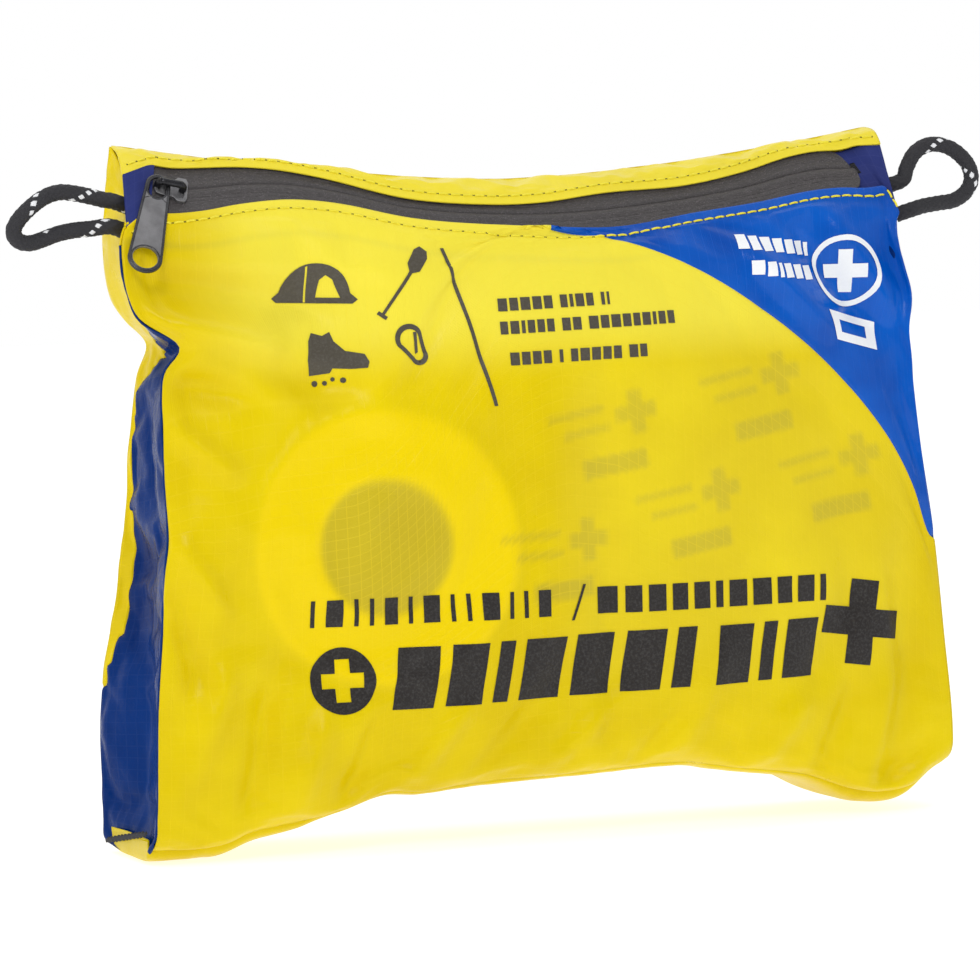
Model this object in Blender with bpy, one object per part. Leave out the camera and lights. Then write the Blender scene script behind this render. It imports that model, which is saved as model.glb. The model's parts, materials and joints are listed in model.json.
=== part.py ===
"""First aid kit: a wedge-shaped pouch of coated nylon with a watertight zipper, lash loops and its contents.

Metres, +Z up. The front faces -Y, +X is to the right of someone facing it, and the origin is the
bottom centre of the standing pouch. Run with blender --background --python part.py.
"""

import math

import bmesh
import bpy
from mathutils import Matrix, Vector

# --- Driving dimensions ---------------------------------------------------------------------------
HALF_WIDTH_BOTTOM = 0.1085      # pouch, at its lower corners
HALF_WIDTH_LIP = 0.1060         # front panel, where it meets the zipper's ends
HALF_WIDTH_TOP = 0.104          # back panel, at its upper corners
HEIGHT_MIDDLE = 0.168
HEIGHT_CORNERS = 0.179
HALF_DEPTH_BOTTOM = 0.0225
BULGE = 0.004                   # how far the front swells past its lower edge
ARCH = 0.008                    # rise of the bottom between its two feet
ARCH_HALF_SPAN = 0.088
CLOTH = 0.0006                  # thickness of the coated nylon
GAP = 0.0003                    # between pieces that touch
LINER = 0.0002                  # clear film and card

# Zipper: a circular track in a tilted plane
TILT = math.radians(50)
TRACK_MIDDLE = Vector((0.0, -0.0095, 0.158))
HALF_CHORD = 0.0945
SAG = 0.0133
TRACK_RADIUS = (HALF_CHORD ** 2 + SAG ** 2) / (2 * SAG)
ACROSS = Vector((1, 0, 0))
UPHILL = Vector((0, math.cos(TILT), math.sin(TILT)))
OUTWARD = Vector((0, -math.sin(TILT), math.cos(TILT)))
TAPE_END = math.radians(17.0)
TAB_START = math.radians(16.75)
TAB_SHARE = 0.925               # share of the half width that the zipper takes; the end tab has the rest
STOP_ANGLE = math.radians(16.62)
STOP_HALF_LENGTH = 0.0004
STOP_HALF_WIDTH = 0.0016
STOP_THICKNESS = 0.0008
TAPE_HALF_WIDTH = 0.0075
TAPE_END_HALF_WIDTH = 0.0066    # the tapes' corners are rounded off under the end tabs
TAPE_NECK = math.radians(15.9)  # where that rounding starts
TAPE_THICKNESS = 0.0008
TAPE_COVER = 0.0082             # from the track's middle line to where the cloth leaves the tapes
SLOT_HALF = 0.0006              # half of the gap between the two tapes
COIL_WIDTH = 0.0018
COIL_THICKNESS = 0.0012
LIP_MIDDLE = 0.0042             # visible half width of the tapes, at the middle and at the ends
LIP_END = 0.0070
CLOTH_LEVEL = TAPE_THICKNESS / 2 + GAP + CLOTH
LIP_CORNER = Vector((HALF_WIDTH_LIP, -0.0095, 0.1600))
FACING_CORNER = Vector((0.1040, 0.0020, 0.1735))

# The blue corner's seam runs down from the lip to the right edge as a quarter of a superellipse
BEND_SHARE = 0.95               # share of the front's height below the cloth that lies on the tapes
SEAM_START_X = -0.001
SEAM_LOW_Z = 0.072
SEAM_HIGH_Z = 0.156
SEAM_POWER = 1.6
SEAM_FIRST_U = 0.17
SEAM_GAP = 0.004                # share of the front's height left between the two panels

# Slider and pull
SLIDER_REST = math.radians(-15.8)
SLIDER_LENGTH = 0.0084
SLIDER_WIDTH = 0.0076
PLATE_THICKNESS = 0.0012
PLATE_BOTTOM = TAPE_THICKNESS / 2 + GAP
PLATE_TOP = PLATE_BOTTOM + PLATE_THICKNESS
FLOOR_TOP = -TAPE_THICKNESS / 2 - GAP - COIL_THICKNESS - GAP
FLOOR_THICKNESS = 0.0009
CROWN_HEIGHT = 0.0034           # of the crown's rod above the slider's top plate
CROWN_RADIUS = 0.00065
CROWN_LEFT = -0.0034            # of the crown's two legs along the slider
CROWN_RIGHT = 0.0026
ROD_HEIGHT = PLATE_TOP + CROWN_HEIGHT
PULL_HANG = math.radians(82)    # between the pull and the slider's underside direction
PULL_OFFSET = 0.0014            # of the pull's middle behind the crown's rod
PULL_THICKNESS = 0.0011
PULL_EYE_X = -0.0031            # of the eye's centre along the slider
EYE_DROP = 0.0008               # of the eye's centre below the crown's rod
EYE_RADIUS = 0.0032
EYE_HOLE_RADIUS = 0.0022
EYE_HOLE_LENGTH = 0.0010        # of the straight part of the eye's hole
RING_RADIUS = 0.0044
RING_HOLE_RADIUS = 0.0032
RING_DROP = 0.0192

# Lash loops: each leaves an end tab, turns back and goes in again below
CORD_RADIUS = 0.0020
LEFT_LOOP = [
    (-0.1088, -0.0030, 0.1652), (-0.1112, -0.0034, 0.1656), (-0.1148, -0.0040, 0.1665), (-0.1190, -0.0047, 0.1674),
    (-0.1231, -0.0052, 0.1678), (-0.1272, -0.0058, 0.1667), (-0.1311, -0.0063, 0.1642), (-0.1344, -0.0068, 0.1611),
    (-0.1357, -0.0070, 0.1583), (-0.1343, -0.0068, 0.1561), (-0.1313, -0.0064, 0.1555), (-0.1280, -0.0061, 0.1563),
    (-0.1244, -0.0060, 0.1575), (-0.1200, -0.0059, 0.1583), (-0.1155, -0.0058, 0.1586), (-0.1105, -0.0060, 0.1590),
]
RIGHT_LOOP = [
    (0.1080, -0.0022, 0.1648), (0.1094, -0.0022, 0.1680), (0.1117, -0.0023, 0.1718), (0.1155, -0.0026, 0.1739),
    (0.1200, -0.0031, 0.1736), (0.1238, -0.0037, 0.1714), (0.1264, -0.0043, 0.1681), (0.1269, -0.0048, 0.1645),
    (0.1250, -0.0053, 0.1613), (0.1213, -0.0056, 0.1592), (0.1168, -0.0058, 0.1586), (0.1124, -0.0060, 0.1580),
    (0.1098, -0.0062, 0.1574),
]

# Contents
TAPE_ROLL_CENTRE = Vector((-0.046, -0.0085, 0.077))
TAPE_ROLL_RADIUS = 0.0345
TAPE_ROLL_WIDTH = 0.022
TAPE_CORE_RADIUS = 0.0185
TAPE_HOLE_RADIUS = 0.0170
BACK_TILT = 5.5                 # how far the flat packs lean with the back panel, in degrees
BAG_CENTRE = Vector((0.056, -0.0095, 0.072))
BAG_SIZE = (0.080, 0.0105, 0.100)
TWEEZERS_HINGE = Vector((-0.068, -0.002, 0.0228))
TWEEZERS_LENGTH = 0.078
TWEEZERS_SPREAD = 6.0
TWEEZERS_THICKNESS = 0.0009
PIN_HALF_LENGTH = 0.013
PIN_HALF_WIDTH = 0.0032

# --- Materials ------------------------------------------------------------------------------------
COLOURS = {
    "yellow_nylon": ((0.86, 0.74, 0.02), 0.45, 0.0),
    "blue_nylon": ((0.01, 0.12, 0.50), 0.25, 0.0),
    "navy_nylon": ((0.04, 0.06, 0.30), 0.80, 0.0),
    "zipper_tape": ((0.07, 0.065, 0.065), 0.70, 0.0),
    "gunmetal": ((0.16, 0.155, 0.16), 0.40, 0.8),
    "black_cord": ((0.02, 0.02, 0.02), 0.85, 0.0),
    "white_tape": ((0.85, 0.83, 0.78), 0.80, 0.0),
    "clear_film": ((0.80, 0.82, 0.80), 0.20, 0.0),
    "gauze": ((0.90, 0.90, 0.88), 0.90, 0.0),
    "card": ((0.80, 0.78, 0.70), 0.70, 0.0),
    "tan_plaster": ((0.70, 0.50, 0.36), 0.75, 0.0),
    "foil": ((0.60, 0.62, 0.65), 0.35, 0.6),
    "blue_glove": ((0.15, 0.30, 0.60), 0.60, 0.0),
    "steel": ((0.65, 0.65, 0.66), 0.25, 1.0),
    "silver_tape": ((0.45, 0.46, 0.48), 0.45, 0.3),
}


def make_material(name):
    colour, roughness, metallic = COLOURS[name]
    material = bpy.data.materials.new(name)
    material.use_nodes = True
    shader = material.node_tree.nodes["Principled BSDF"]
    shader.inputs["Base Color"].default_value = (*colour, 1.0)
    shader.inputs["Roughness"].default_value = roughness
    shader.inputs["Metallic"].default_value = metallic
    return material


# --- Mesh helpers ---------------------------------------------------------------------------------
def lerp(a, b, t):
    return a + (b - a) * t


def spread(start, end, count):
    return [lerp(start, end, i / (count - 1)) for i in range(count)]


def add_object(name, bm, material, matrix=None):
    """Finish a bmesh as a smooth-shaded object; matrix moves its points into place."""
    if matrix is not None:
        bm.transform(matrix)
    bmesh.ops.recalc_face_normals(bm, faces=bm.faces)
    mesh = bpy.data.meshes.new(name)
    bm.to_mesh(mesh)
    bm.free()
    mesh.materials.append(MATERIALS[material])
    mesh.shade_smooth()
    mesh.set_sharp_from_angle(angle=math.radians(35))
    obj = bpy.data.objects.new(name, mesh)
    bpy.context.scene.collection.objects.link(obj)
    return obj


def sheet(name, surface, columns, rows, thickness, material, inward=-1):
    """A closed thin shell: surface(u, v) is its outer face, thickened along the normal times inward."""
    grid = [[surface(u, v) for u in columns] for v in rows]
    last_row = len(rows) - 1
    last_column = len(columns) - 1

    def normal(i, j):
        along = grid[i][min(j + 1, last_column)] - grid[i][max(j - 1, 0)]
        up = grid[min(i + 1, last_row)][j] - grid[max(i - 1, 0)][j]
        return along.cross(up).normalized()

    bm = bmesh.new()
    outer = [[bm.verts.new(point) for point in row] for row in grid]
    inner = [
        [bm.verts.new(grid[i][j] + normal(i, j) * thickness * inward) for j in range(len(columns))]
        for i in range(len(rows))
    ]
    for i in range(last_row):
        for j in range(last_column):
            for side in (outer, inner):
                bm.faces.new((side[i][j], side[i][j + 1], side[i + 1][j + 1], side[i + 1][j]))
    for i in range(last_row):
        for j in (0, last_column):
            bm.faces.new((outer[i][j], outer[i + 1][j], inner[i + 1][j], inner[i][j]))
    for j in range(last_column):
        for i in (0, last_row):
            bm.faces.new((outer[i][j], outer[i][j + 1], inner[i][j + 1], inner[i][j]))
    return add_object(name, bm, material)


def prism(outline, bottom, top):
    """A bmesh prism of a plane outline [(x, y), ...] between two heights."""
    bm = bmesh.new()
    face = bm.faces.new([bm.verts.new((x, y, bottom)) for x, y in outline])
    result = bmesh.ops.extrude_face_region(bm, geom=[face])
    raised = [item for item in result["geom"] if isinstance(item, bmesh.types.BMVert)]
    bmesh.ops.translate(bm, verts=raised, vec=(0, 0, top - bottom))
    return bm


def arc(centre_x, centre_y, radius, start_deg, end_deg, steps):
    return [
        (centre_x + radius * math.cos(math.radians(a)), centre_y + radius * math.sin(math.radians(a)))
        for a in spread(start_deg, end_deg, steps)
    ]


def block(name, size, centre, material, corner=0.002, tilt_deg=0.0, turn_deg=0.0):
    """A flat pack or slab with rounded corners; thin along Y, tilted about X and turned about Y."""
    half_x = size[0] / 2
    half_z = size[2] / 2
    outline = []
    for sign_x, sign_z, start in ((1, 1, 0), (-1, 1, 90), (-1, -1, 180), (1, -1, 270)):
        outline += arc(sign_x * (half_x - corner), sign_z * (half_z - corner), corner, start, start + 90, 4)
    bm = prism(outline, -size[1] / 2, size[1] / 2)
    upright = Matrix.Rotation(math.radians(90), 4, "X")
    turn = Matrix.Rotation(math.radians(turn_deg), 4, "Y")
    tilt = Matrix.Rotation(math.radians(tilt_deg), 4, "X")
    return add_object(name, bm, material, Matrix.Translation(centre) @ tilt @ turn @ upright)


def ring(name, hole_radius, radius, width, matrix, material, segments=40):
    """A turned ring of rectangular section about its local Z axis; without a hole it is a cylinder."""
    bm = bmesh.new()
    corners = [(radius, -width / 2), (radius, width / 2)]
    if hole_radius > 0:
        corners += [(hole_radius, width / 2), (hole_radius, -width / 2)]
    loops = []
    for i in range(segments):
        angle = 2 * math.pi * i / segments
        loops.append([bm.verts.new((r * math.cos(angle), r * math.sin(angle), z)) for r, z in corners])
    for i in range(segments):
        here = loops[i]
        there = loops[(i + 1) % segments]
        for k in range(len(corners) if hole_radius > 0 else 1):
            after = (k + 1) % len(corners)
            bm.faces.new((here[k], there[k], there[after], here[after]))
    if hole_radius <= 0:
        bm.faces.new([loop[0] for loop in loops])
        bm.faces.new([loop[1] for loop in loops])
    return add_object(name, bm, material, matrix)


def smooth_curve(points, per_span, closed=False):
    """Points of a Catmull-Rom curve through the given ones."""
    count = len(points)
    spans = count if closed else count - 1
    result = []
    for i in range(spans):
        if closed:
            a, b, c, d = (points[(i + k) % count] for k in (-1, 0, 1, 2))
        else:
            a, b, c, d = (points[min(max(i + k, 0), count - 1)] for k in (-1, 0, 1, 2))
        for step in range(per_span):
            t = step / per_span
            result.append(0.5 * (2 * b + (c - a) * t + (2 * a - 5 * b + 4 * c - d) * t * t
                                 + (3 * b - a - 3 * c + d) * t ** 3))
    if not closed:
        result.append(points[-1])
    return result


def tube(name, points, radius, material, closed=False, matrix=None):
    """A round bar or cord along a line of points."""
    data = bpy.data.curves.new(name, "CURVE")
    data.dimensions = "3D"
    data.bevel_depth = radius
    data.bevel_resolution = 2
    data.use_fill_caps = not closed
    spline = data.splines.new("POLY")
    spline.points.add(len(points) - 1)
    for target, point in zip(spline.points, points):
        place = matrix @ point if matrix else point
        target.co = (*place, 1.0)
    spline.use_cyclic_u = closed
    data.materials.append(MATERIALS[material])
    obj = bpy.data.objects.new(name, data)
    bpy.context.scene.collection.objects.link(obj)
    return obj


def boolean(target, tool, operation):
    """Apply a Boolean of a hidden helper object to the target, and remove the helper."""
    modifier = target.modifiers.new(operation.lower(), "BOOLEAN")
    modifier.operation = operation
    modifier.solver = "EXACT"
    modifier.object = tool
    graph = bpy.context.evaluated_depsgraph_get()
    mesh = bpy.data.meshes.new_from_object(target.evaluated_get(graph))
    target.modifiers.clear()
    old = target.data
    target.data = mesh
    bpy.data.meshes.remove(old)
    bpy.data.objects.remove(tool)


# --- Shape of the pouch ---------------------------------------------------------------------------
def bezier(a, b, c, d, t):
    s = 1 - t
    return a * s ** 3 + b * 3 * s * s * t + c * 3 * s * t * t + d * t ** 3


def arch_height(x):
    if abs(x) >= ARCH_HALF_SPAN:
        return 0.0
    return ARCH * math.cos(math.pi / 2 * x / ARCH_HALF_SPAN) ** 2


def track_point(angle, radius, height):
    """A point of the zipper: angle from the track's middle, radius from its centre, height off the tapes."""
    across = radius * math.sin(angle)
    uphill = TRACK_RADIUS - radius * math.cos(angle)
    return TRACK_MIDDLE + ACROSS * across + UPHILL * uphill + OUTWARD * height


def visible_half(angle):
    return lerp(LIP_MIDDLE, LIP_END, min(1.0, (angle / TAB_START) ** 2))


def mirrored(point, sign):
    return Vector((point.x * sign, point.y, point.z))


def zipper_edge(u, side, spacing, level=CLOTH_LEVEL):
    """The cloth's edge along the zipper: side +1 is the front lip and -1 the top facing."""
    share = min(abs(u) / TAB_SHARE, 1.0)
    angle = math.copysign(TAB_START * share, u)
    point = track_point(angle, TRACK_RADIUS + side * spacing(angle), level)
    if abs(u) <= TAB_SHARE:
        return point
    corner = mirrored(LIP_CORNER if side > 0 else FACING_CORNER, math.copysign(1, u))
    return lerp(point, corner, (abs(u) - TAB_SHARE) / (1 - TAB_SHARE))


def front_surface(u, v):
    """Outer face of the front: u from -1 to 1 across, v from 0 at the bottom to 1 at the zipper."""
    lip = zipper_edge(u, 1, visible_half)
    bend = lip - UPHILL * (TAPE_COVER - visible_half(TAB_START * min(abs(u) / TAB_SHARE, 1.0)))
    if v > BEND_SHARE:
        return lerp(bend, lip, (v - BEND_SHARE) / (1 - BEND_SHARE))
    swell = math.cos(math.pi / 2 * u)
    x = u * HALF_WIDTH_BOTTOM
    bottom = Vector((x, -HALF_DEPTH_BOTTOM + 0.003 * (1 - swell), arch_height(x) + 0.004))
    low = bottom + Vector((0, -BULGE * (0.6 + swell), 0.050))
    high = bend - UPHILL * 0.012 - Vector((0, 0, 0.004))
    return bezier(bottom, low, high, bend, v / BEND_SHARE)


def back_surface(u, v):
    """Outer face of the back: v from 0 at the bottom to 1 at the top edge."""
    swell = math.cos(math.pi / 2 * u)
    x = u * HALF_WIDTH_BOTTOM
    bottom = Vector((x, HALF_DEPTH_BOTTOM - 0.003 * (1 - swell), arch_height(x) + 0.004))
    top = top_edge(u)
    return bezier(bottom, bottom + Vector((0, 0.003, 0.050)), top + Vector((0, 0.003, -0.050)), top, v)


def top_edge(u):
    return Vector((u * HALF_WIDTH_TOP, 0.0065 + 0.0065 * u * u,
                   lerp(HEIGHT_MIDDLE, HEIGHT_CORNERS, abs(u) ** 1.6)))


def facing_surface(u, v):
    """Outer face of the strip between the zipper's upper tape and the top edge."""
    edge = zipper_edge(u, -1, visible_half)
    bend = edge + UPHILL * (TAPE_COVER - visible_half(TAB_START * min(abs(u) / TAB_SHARE, 1.0))) * 0.8
    top = top_edge(u) - Vector((0, CLOTH + 2 * GAP, 0))
    if v < 0.3:
        return lerp(edge, bend, v / 0.3)
    return lerp(bend, top, (v - 0.3) / 0.7) + OUTWARD * 0.0012 * math.sin(math.pi * (v - 0.3) / 0.7)


def corner_seam_z(x):
    share = min(max((x - SEAM_START_X) / (HALF_WIDTH_LIP - SEAM_START_X), 0.0), 1.0)
    return lerp(SEAM_LOW_Z, SEAM_HIGH_Z, (1 - share ** SEAM_POWER) ** (1 / SEAM_POWER))


def corner_seam_v(u):
    """The share of the front's height at which the corner seam crosses column u."""
    low, high = 0.3, BEND_SHARE - 0.02
    for _ in range(24):
        middle = (low + high) / 2
        point = front_surface(u, middle)
        if point.z < corner_seam_z(point.x):
            low = middle
        else:
            high = middle
    return low


def columns_with_tabs(start, end, count):
    """Evenly spread columns, with one where each end tab starts."""
    inner = [u for u in spread(start, end, count) if abs(abs(u) - TAB_SHARE) > 0.02]
    return sorted(inner + [u for u in (-TAB_SHARE, TAB_SHARE) if start < u < end])


FRONT_ROWS = [0.0, 0.06, 0.16, 0.28, 0.41, 0.54, 0.66, 0.77, 0.86, BEND_SHARE, 1.0]


def make_front():
    def yellow(u, v):
        top = 1.0 if u < SEAM_FIRST_U - 0.02 else corner_seam_v(u)
        return front_surface(u, v * top)

    def blue(u, v):
        start = corner_seam_v(u) + SEAM_GAP
        share = lerp(start, BEND_SHARE, v / 0.88) if v <= 0.88 else lerp(BEND_SHARE, 1.0, (v - 0.88) / 0.12)
        return front_surface(u, share)

    sheet("front_panel", yellow, columns_with_tabs(-1, 1, 37), FRONT_ROWS, CLOTH, "yellow_nylon")
    sheet("corner_panel", blue, columns_with_tabs(SEAM_FIRST_U, 1, 16), [0, 0.2, 0.4, 0.6, 0.75, 0.88, 1.0],
          CLOTH, "blue_nylon")


def make_back():
    sheet("back_panel", back_surface, spread(-1, 1, 25), spread(0, 1, 9), CLOTH, "yellow_nylon", inward=1)


def make_bottom():
    flat_half = 0.016
    half_width = HALF_WIDTH_BOTTOM - 0.0015

    def surface(u, v):
        x = u * half_width
        edge = HALF_DEPTH_BOTTOM - 0.003 * (1 - math.cos(math.pi / 2 * u)) - CLOTH - 2 * GAP
        if abs(v) <= 1:
            return Vector((x, v * flat_half, arch_height(x)))
        return Vector((x, math.copysign(edge, v), arch_height(x) + 0.0025))

    feet = ARCH_HALF_SPAN / half_width
    columns = [-1, -0.91] + spread(-feet, feet, 23) + [0.91, 1]
    sheet("bottom_panel", surface, columns, [-2, -1, 0, 1, 2], 0.0008, "yellow_nylon", inward=1)


def make_facing():
    sheet("top_facing", facing_surface, columns_with_tabs(-1, 1, 37), [0, 0.15, 0.3, 0.53, 0.77, 1.0], CLOTH,
          "yellow_nylon")


def make_gusset(name, sign):
    inset = CLOTH + 4 * GAP
    fold_low, fold_high = 0.007, 0.003

    def surface(u, v):
        front = front_surface(sign, lerp(0.045, 0.88, v))
        back = back_surface(sign, lerp(0.035, 0.85, v))
        front.y += inset
        back.y -= inset
        point = lerp(front, back, u)
        point.x -= sign * (CLOTH + lerp(fold_low, fold_high, v) * math.sin(math.pi * u))
        return point

    sheet(name, surface, spread(0, 1, 9), spread(0, 1, 11), CLOTH, "blue_nylon", inward=-sign)


def make_end_tab(name, sign):
    """The patch that closes an end of the zipper: it spans from the lip to the facing."""
    margin = 0.0005

    def spacing(angle):
        return visible_half(angle) - margin

    def surface(u, v):
        across = sign * lerp(TAB_SHARE + 0.002, 0.995, u)
        lower = zipper_edge(across, 1, spacing)
        upper = zipper_edge(across, -1, spacing)
        return lerp(lower, upper, lerp(0.03 + 0.05 * u, 0.97 - 0.05 * u, v))

    sheet(name, surface, spread(0, 1, 5), spread(0, 1, 6), CLOTH, "navy_nylon", inward=-sign)


def make_binding(name, sign):
    """The taped seam along the foot of a side gusset."""
    length = 2 * HALF_DEPTH_BOTTOM - 0.011
    block(name, (length, 0.0010, 0.0030), Vector((0, 0, 0)), "navy_nylon", corner=0.0004)
    obj = bpy.data.objects[name]
    quarter = Matrix.Rotation(math.radians(90), 4, "Z")
    obj.data.transform(Matrix.Translation((sign * (HALF_WIDTH_BOTTOM - 0.0035), 0, 0.0062)) @ quarter)


# --- Zipper ---------------------------------------------------------------------------------------
def make_zipper():
    angles = spread(-TAPE_END, TAPE_END, 33)
    for name, side in (("zipper_tape_lower", 1), ("zipper_tape_upper", -1)):
        def tape(u, v, side=side):
            rounding = max(0.0, (abs(u) - TAPE_NECK) / (TAPE_END - TAPE_NECK)) ** 2
            outer = lerp(TAPE_HALF_WIDTH, TAPE_END_HALF_WIDTH, rounding)
            return track_point(u, TRACK_RADIUS + side * lerp(SLOT_HALF, outer, v), TAPE_THICKNESS / 2)
        sheet(name, tape, angles, [0, 1], TAPE_THICKNESS, "zipper_tape", inward=side)
    under = -TAPE_THICKNESS / 2 - GAP
    for name, side in (("zipper_coil_lower", 1), ("zipper_coil_upper", -1)):
        def coil(u, v, side=side):
            return track_point(u, TRACK_RADIUS + side * lerp(SLOT_HALF, SLOT_HALF + COIL_WIDTH, v), under)
        sheet(name, coil, angles, [0, 1], COIL_THICKNESS, "zipper_tape", inward=side)
    for name, sign in (("zipper_stop_left", -1), ("zipper_stop_right", 1)):
        def stop(u, v, sign=sign):
            return track_point(sign * STOP_ANGLE + u * STOP_HALF_LENGTH / TRACK_RADIUS,
                               TRACK_RADIUS - v * STOP_HALF_WIDTH, TAPE_THICKNESS / 2 + GAP + STOP_THICKNESS)
        sheet(name, stop, [-1, 1], [-1, 1], STOP_THICKNESS, "gunmetal")


def slider_matrix():
    """The slider's own axes: X along the track, Y uphill, Z off the tapes, origin on the middle line."""
    along = ACROSS * math.cos(SLIDER_REST) + UPHILL * math.sin(SLIDER_REST)
    uphill = UPHILL * math.cos(SLIDER_REST) - ACROSS * math.sin(SLIDER_REST)
    place = track_point(SLIDER_REST, TRACK_RADIUS, 0)
    rotation = Matrix((along, uphill, OUTWARD)).transposed().to_4x4()
    return Matrix.Translation(place) @ rotation


def slider_outline(length, width):
    """Broad where the two tapes enter, with a waist and a narrower tail."""
    half = width / 2
    return [
        (length * 0.50, -half * 0.88), (length * 0.50, half * 0.88), (length * 0.42, half),
        (length * 0.22, half * 0.94), (length * 0.02, half * 0.70), (-length * 0.34, half * 0.68),
        (-length * 0.50, half * 0.42), (-length * 0.50, -half * 0.42), (-length * 0.34, -half * 0.68),
        (length * 0.02, -half * 0.70), (length * 0.22, -half * 0.94), (length * 0.42, -half),
    ]


def make_slider():
    matrix = slider_matrix()
    body = add_object("slider_body", prism(slider_outline(SLIDER_LENGTH, SLIDER_WIDTH), PLATE_BOTTOM, PLATE_TOP),
                      "gunmetal", matrix)
    web_half = SLOT_HALF - GAP
    web_start, web_end = -0.0006, 0.0030
    web_outline = [(web_start, -web_half), (web_end, -web_half), (web_end, web_half), (web_start, web_half)]
    web = add_object("slider_web", prism(web_outline, FLOOR_TOP - FLOOR_THICKNESS / 2, PLATE_BOTTOM + PLATE_THICKNESS / 3),
                     "gunmetal", matrix)
    boolean(body, web, "UNION")
    floor_outline = slider_outline(SLIDER_LENGTH * 0.94, SLIDER_WIDTH * 0.84)
    floor = add_object("slider_floor", prism(floor_outline, FLOOR_TOP - FLOOR_THICKNESS, FLOOR_TOP), "gunmetal",
                       matrix)
    boolean(body, floor, "UNION")

    foot = PLATE_TOP + GAP
    left, right, bend = CROWN_LEFT, CROWN_RIGHT, 0.0010
    profile = [(left, foot)]
    profile += arc(left + bend, ROD_HEIGHT - bend, bend, 180, 90, 4)
    profile += arc(right - bend, ROD_HEIGHT - bend, bend, 90, 0, 4)
    profile += [(right, foot)]
    tube("slider_crown", [Vector((x, 0, z)) for x, z in profile], CROWN_RADIUS, "gunmetal", matrix=matrix)


def pull_matrix():
    """The pull's own axes, origin on the crown's rod: X along the slider, Y up the pull, Z its face."""
    down = Vector((0, -math.sin(PULL_HANG), -math.cos(PULL_HANG)))
    along = Vector((1, 0, 0))
    face = along.cross(-down)
    rotation = Matrix((along, -down, face)).transposed().to_4x4()
    return slider_matrix() @ Matrix.Translation((0, 0, ROD_HEIGHT)) @ rotation


def make_pull():
    matrix = pull_matrix() @ Matrix.Translation((0, 0, -PULL_OFFSET))
    half = PULL_THICKNESS / 2
    outline = arc(PULL_EYE_X, -EYE_DROP, EYE_RADIUS, 0, 180, 13)
    outline += arc(PULL_EYE_X, -RING_DROP, RING_RADIUS, 180, 360, 19)
    pull = add_object("pull_tab", prism(outline, -half, half), "gunmetal", matrix)
    eye = arc(PULL_EYE_X, -EYE_DROP, EYE_HOLE_RADIUS, 0, 180, 11)
    eye += arc(PULL_EYE_X, -EYE_DROP - EYE_HOLE_LENGTH, EYE_HOLE_RADIUS, 180, 360, 11)
    boolean(pull, add_object("eye_cutter", prism(eye, -2 * half, 2 * half), "gunmetal", matrix), "DIFFERENCE")
    hole = arc(PULL_EYE_X, -RING_DROP, RING_HOLE_RADIUS, 0, 345, 24)
    boolean(pull, add_object("ring_cutter", prism(hole, -2 * half, 2 * half), "gunmetal", matrix), "DIFFERENCE")


# --- Lash loops -----------------------------------------------------------------------------------
def make_loops():
    for name, route in (("cord_loop_left", LEFT_LOOP), ("cord_loop_right", RIGHT_LOOP)):
        tube(name, smooth_curve([Vector(p) for p in route], 3), CORD_RADIUS, "black_cord")


# --- Contents -------------------------------------------------------------------------------------
def facing_front(centre):
    """Places a ring with its axis along Y."""
    return Matrix.Translation(centre) @ Matrix.Rotation(math.radians(90), 4, "X")


def make_rolls():
    ring("tape_core", TAPE_HOLE_RADIUS, TAPE_CORE_RADIUS, TAPE_ROLL_WIDTH, facing_front(TAPE_ROLL_CENTRE), "card")
    ring("tape_roll", TAPE_CORE_RADIUS + GAP, TAPE_ROLL_RADIUS, TAPE_ROLL_WIDTH,
         facing_front(TAPE_ROLL_CENTRE), "white_tape", 48)
    spare = Vector((-0.086, 0.0, 0.029))
    ring("repair_tape_core", 0.0040, 0.0052, 0.024, facing_front(spare), "card", 20)
    ring("repair_tape_roll", 0.0055, 0.0115, 0.024, facing_front(spare), "silver_tape", 28)
    lying = Matrix.Translation((-0.048, -0.0035, 0.1255)) @ Matrix.Rotation(math.radians(90), 4, "Y")
    ring("roller_bandage", 0, 0.0105, 0.062, lying, "gauze", 28)


def make_inner_bag():
    half_depth = BAG_SIZE[1] / 2
    for name, sign in (("inner_bag_front", -1), ("inner_bag_back", 1)):
        def film(u, v, sign=sign):
            swell = math.cos(math.pi / 2 * u) ** 0.25 if abs(u) < 1 else 0
            swell *= math.cos(math.pi / 2 * v) ** 0.25 if abs(v) < 1 else 0
            offset = sign * (GAP + (half_depth - GAP) * swell)
            return BAG_CENTRE + Vector((u * BAG_SIZE[0] / 2, offset, v * BAG_SIZE[2] / 2))
        steps = [-1, -0.94, -0.8, -0.4, 0, 0.4, 0.8, 0.94, 1]
        sheet(name, film, steps, steps, LINER, "clear_film", inward=sign)
    for index in range(3):
        depth = lerp(-0.0024, 0.0024, index / 2)
        block("gauze_pad_%d" % (index + 1), (0.046, 0.0020, 0.046), BAG_CENTRE + Vector((0, depth, -0.004)), "gauze")
    seal_z = BAG_CENTRE.z + BAG_SIZE[2] / 2 + 0.0020
    block("inner_bag_seal", (0.078, 0.0014, 0.0030), Vector((BAG_CENTRE.x, BAG_CENTRE.y, seal_z)), "clear_film",
          corner=0.0005)


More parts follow.
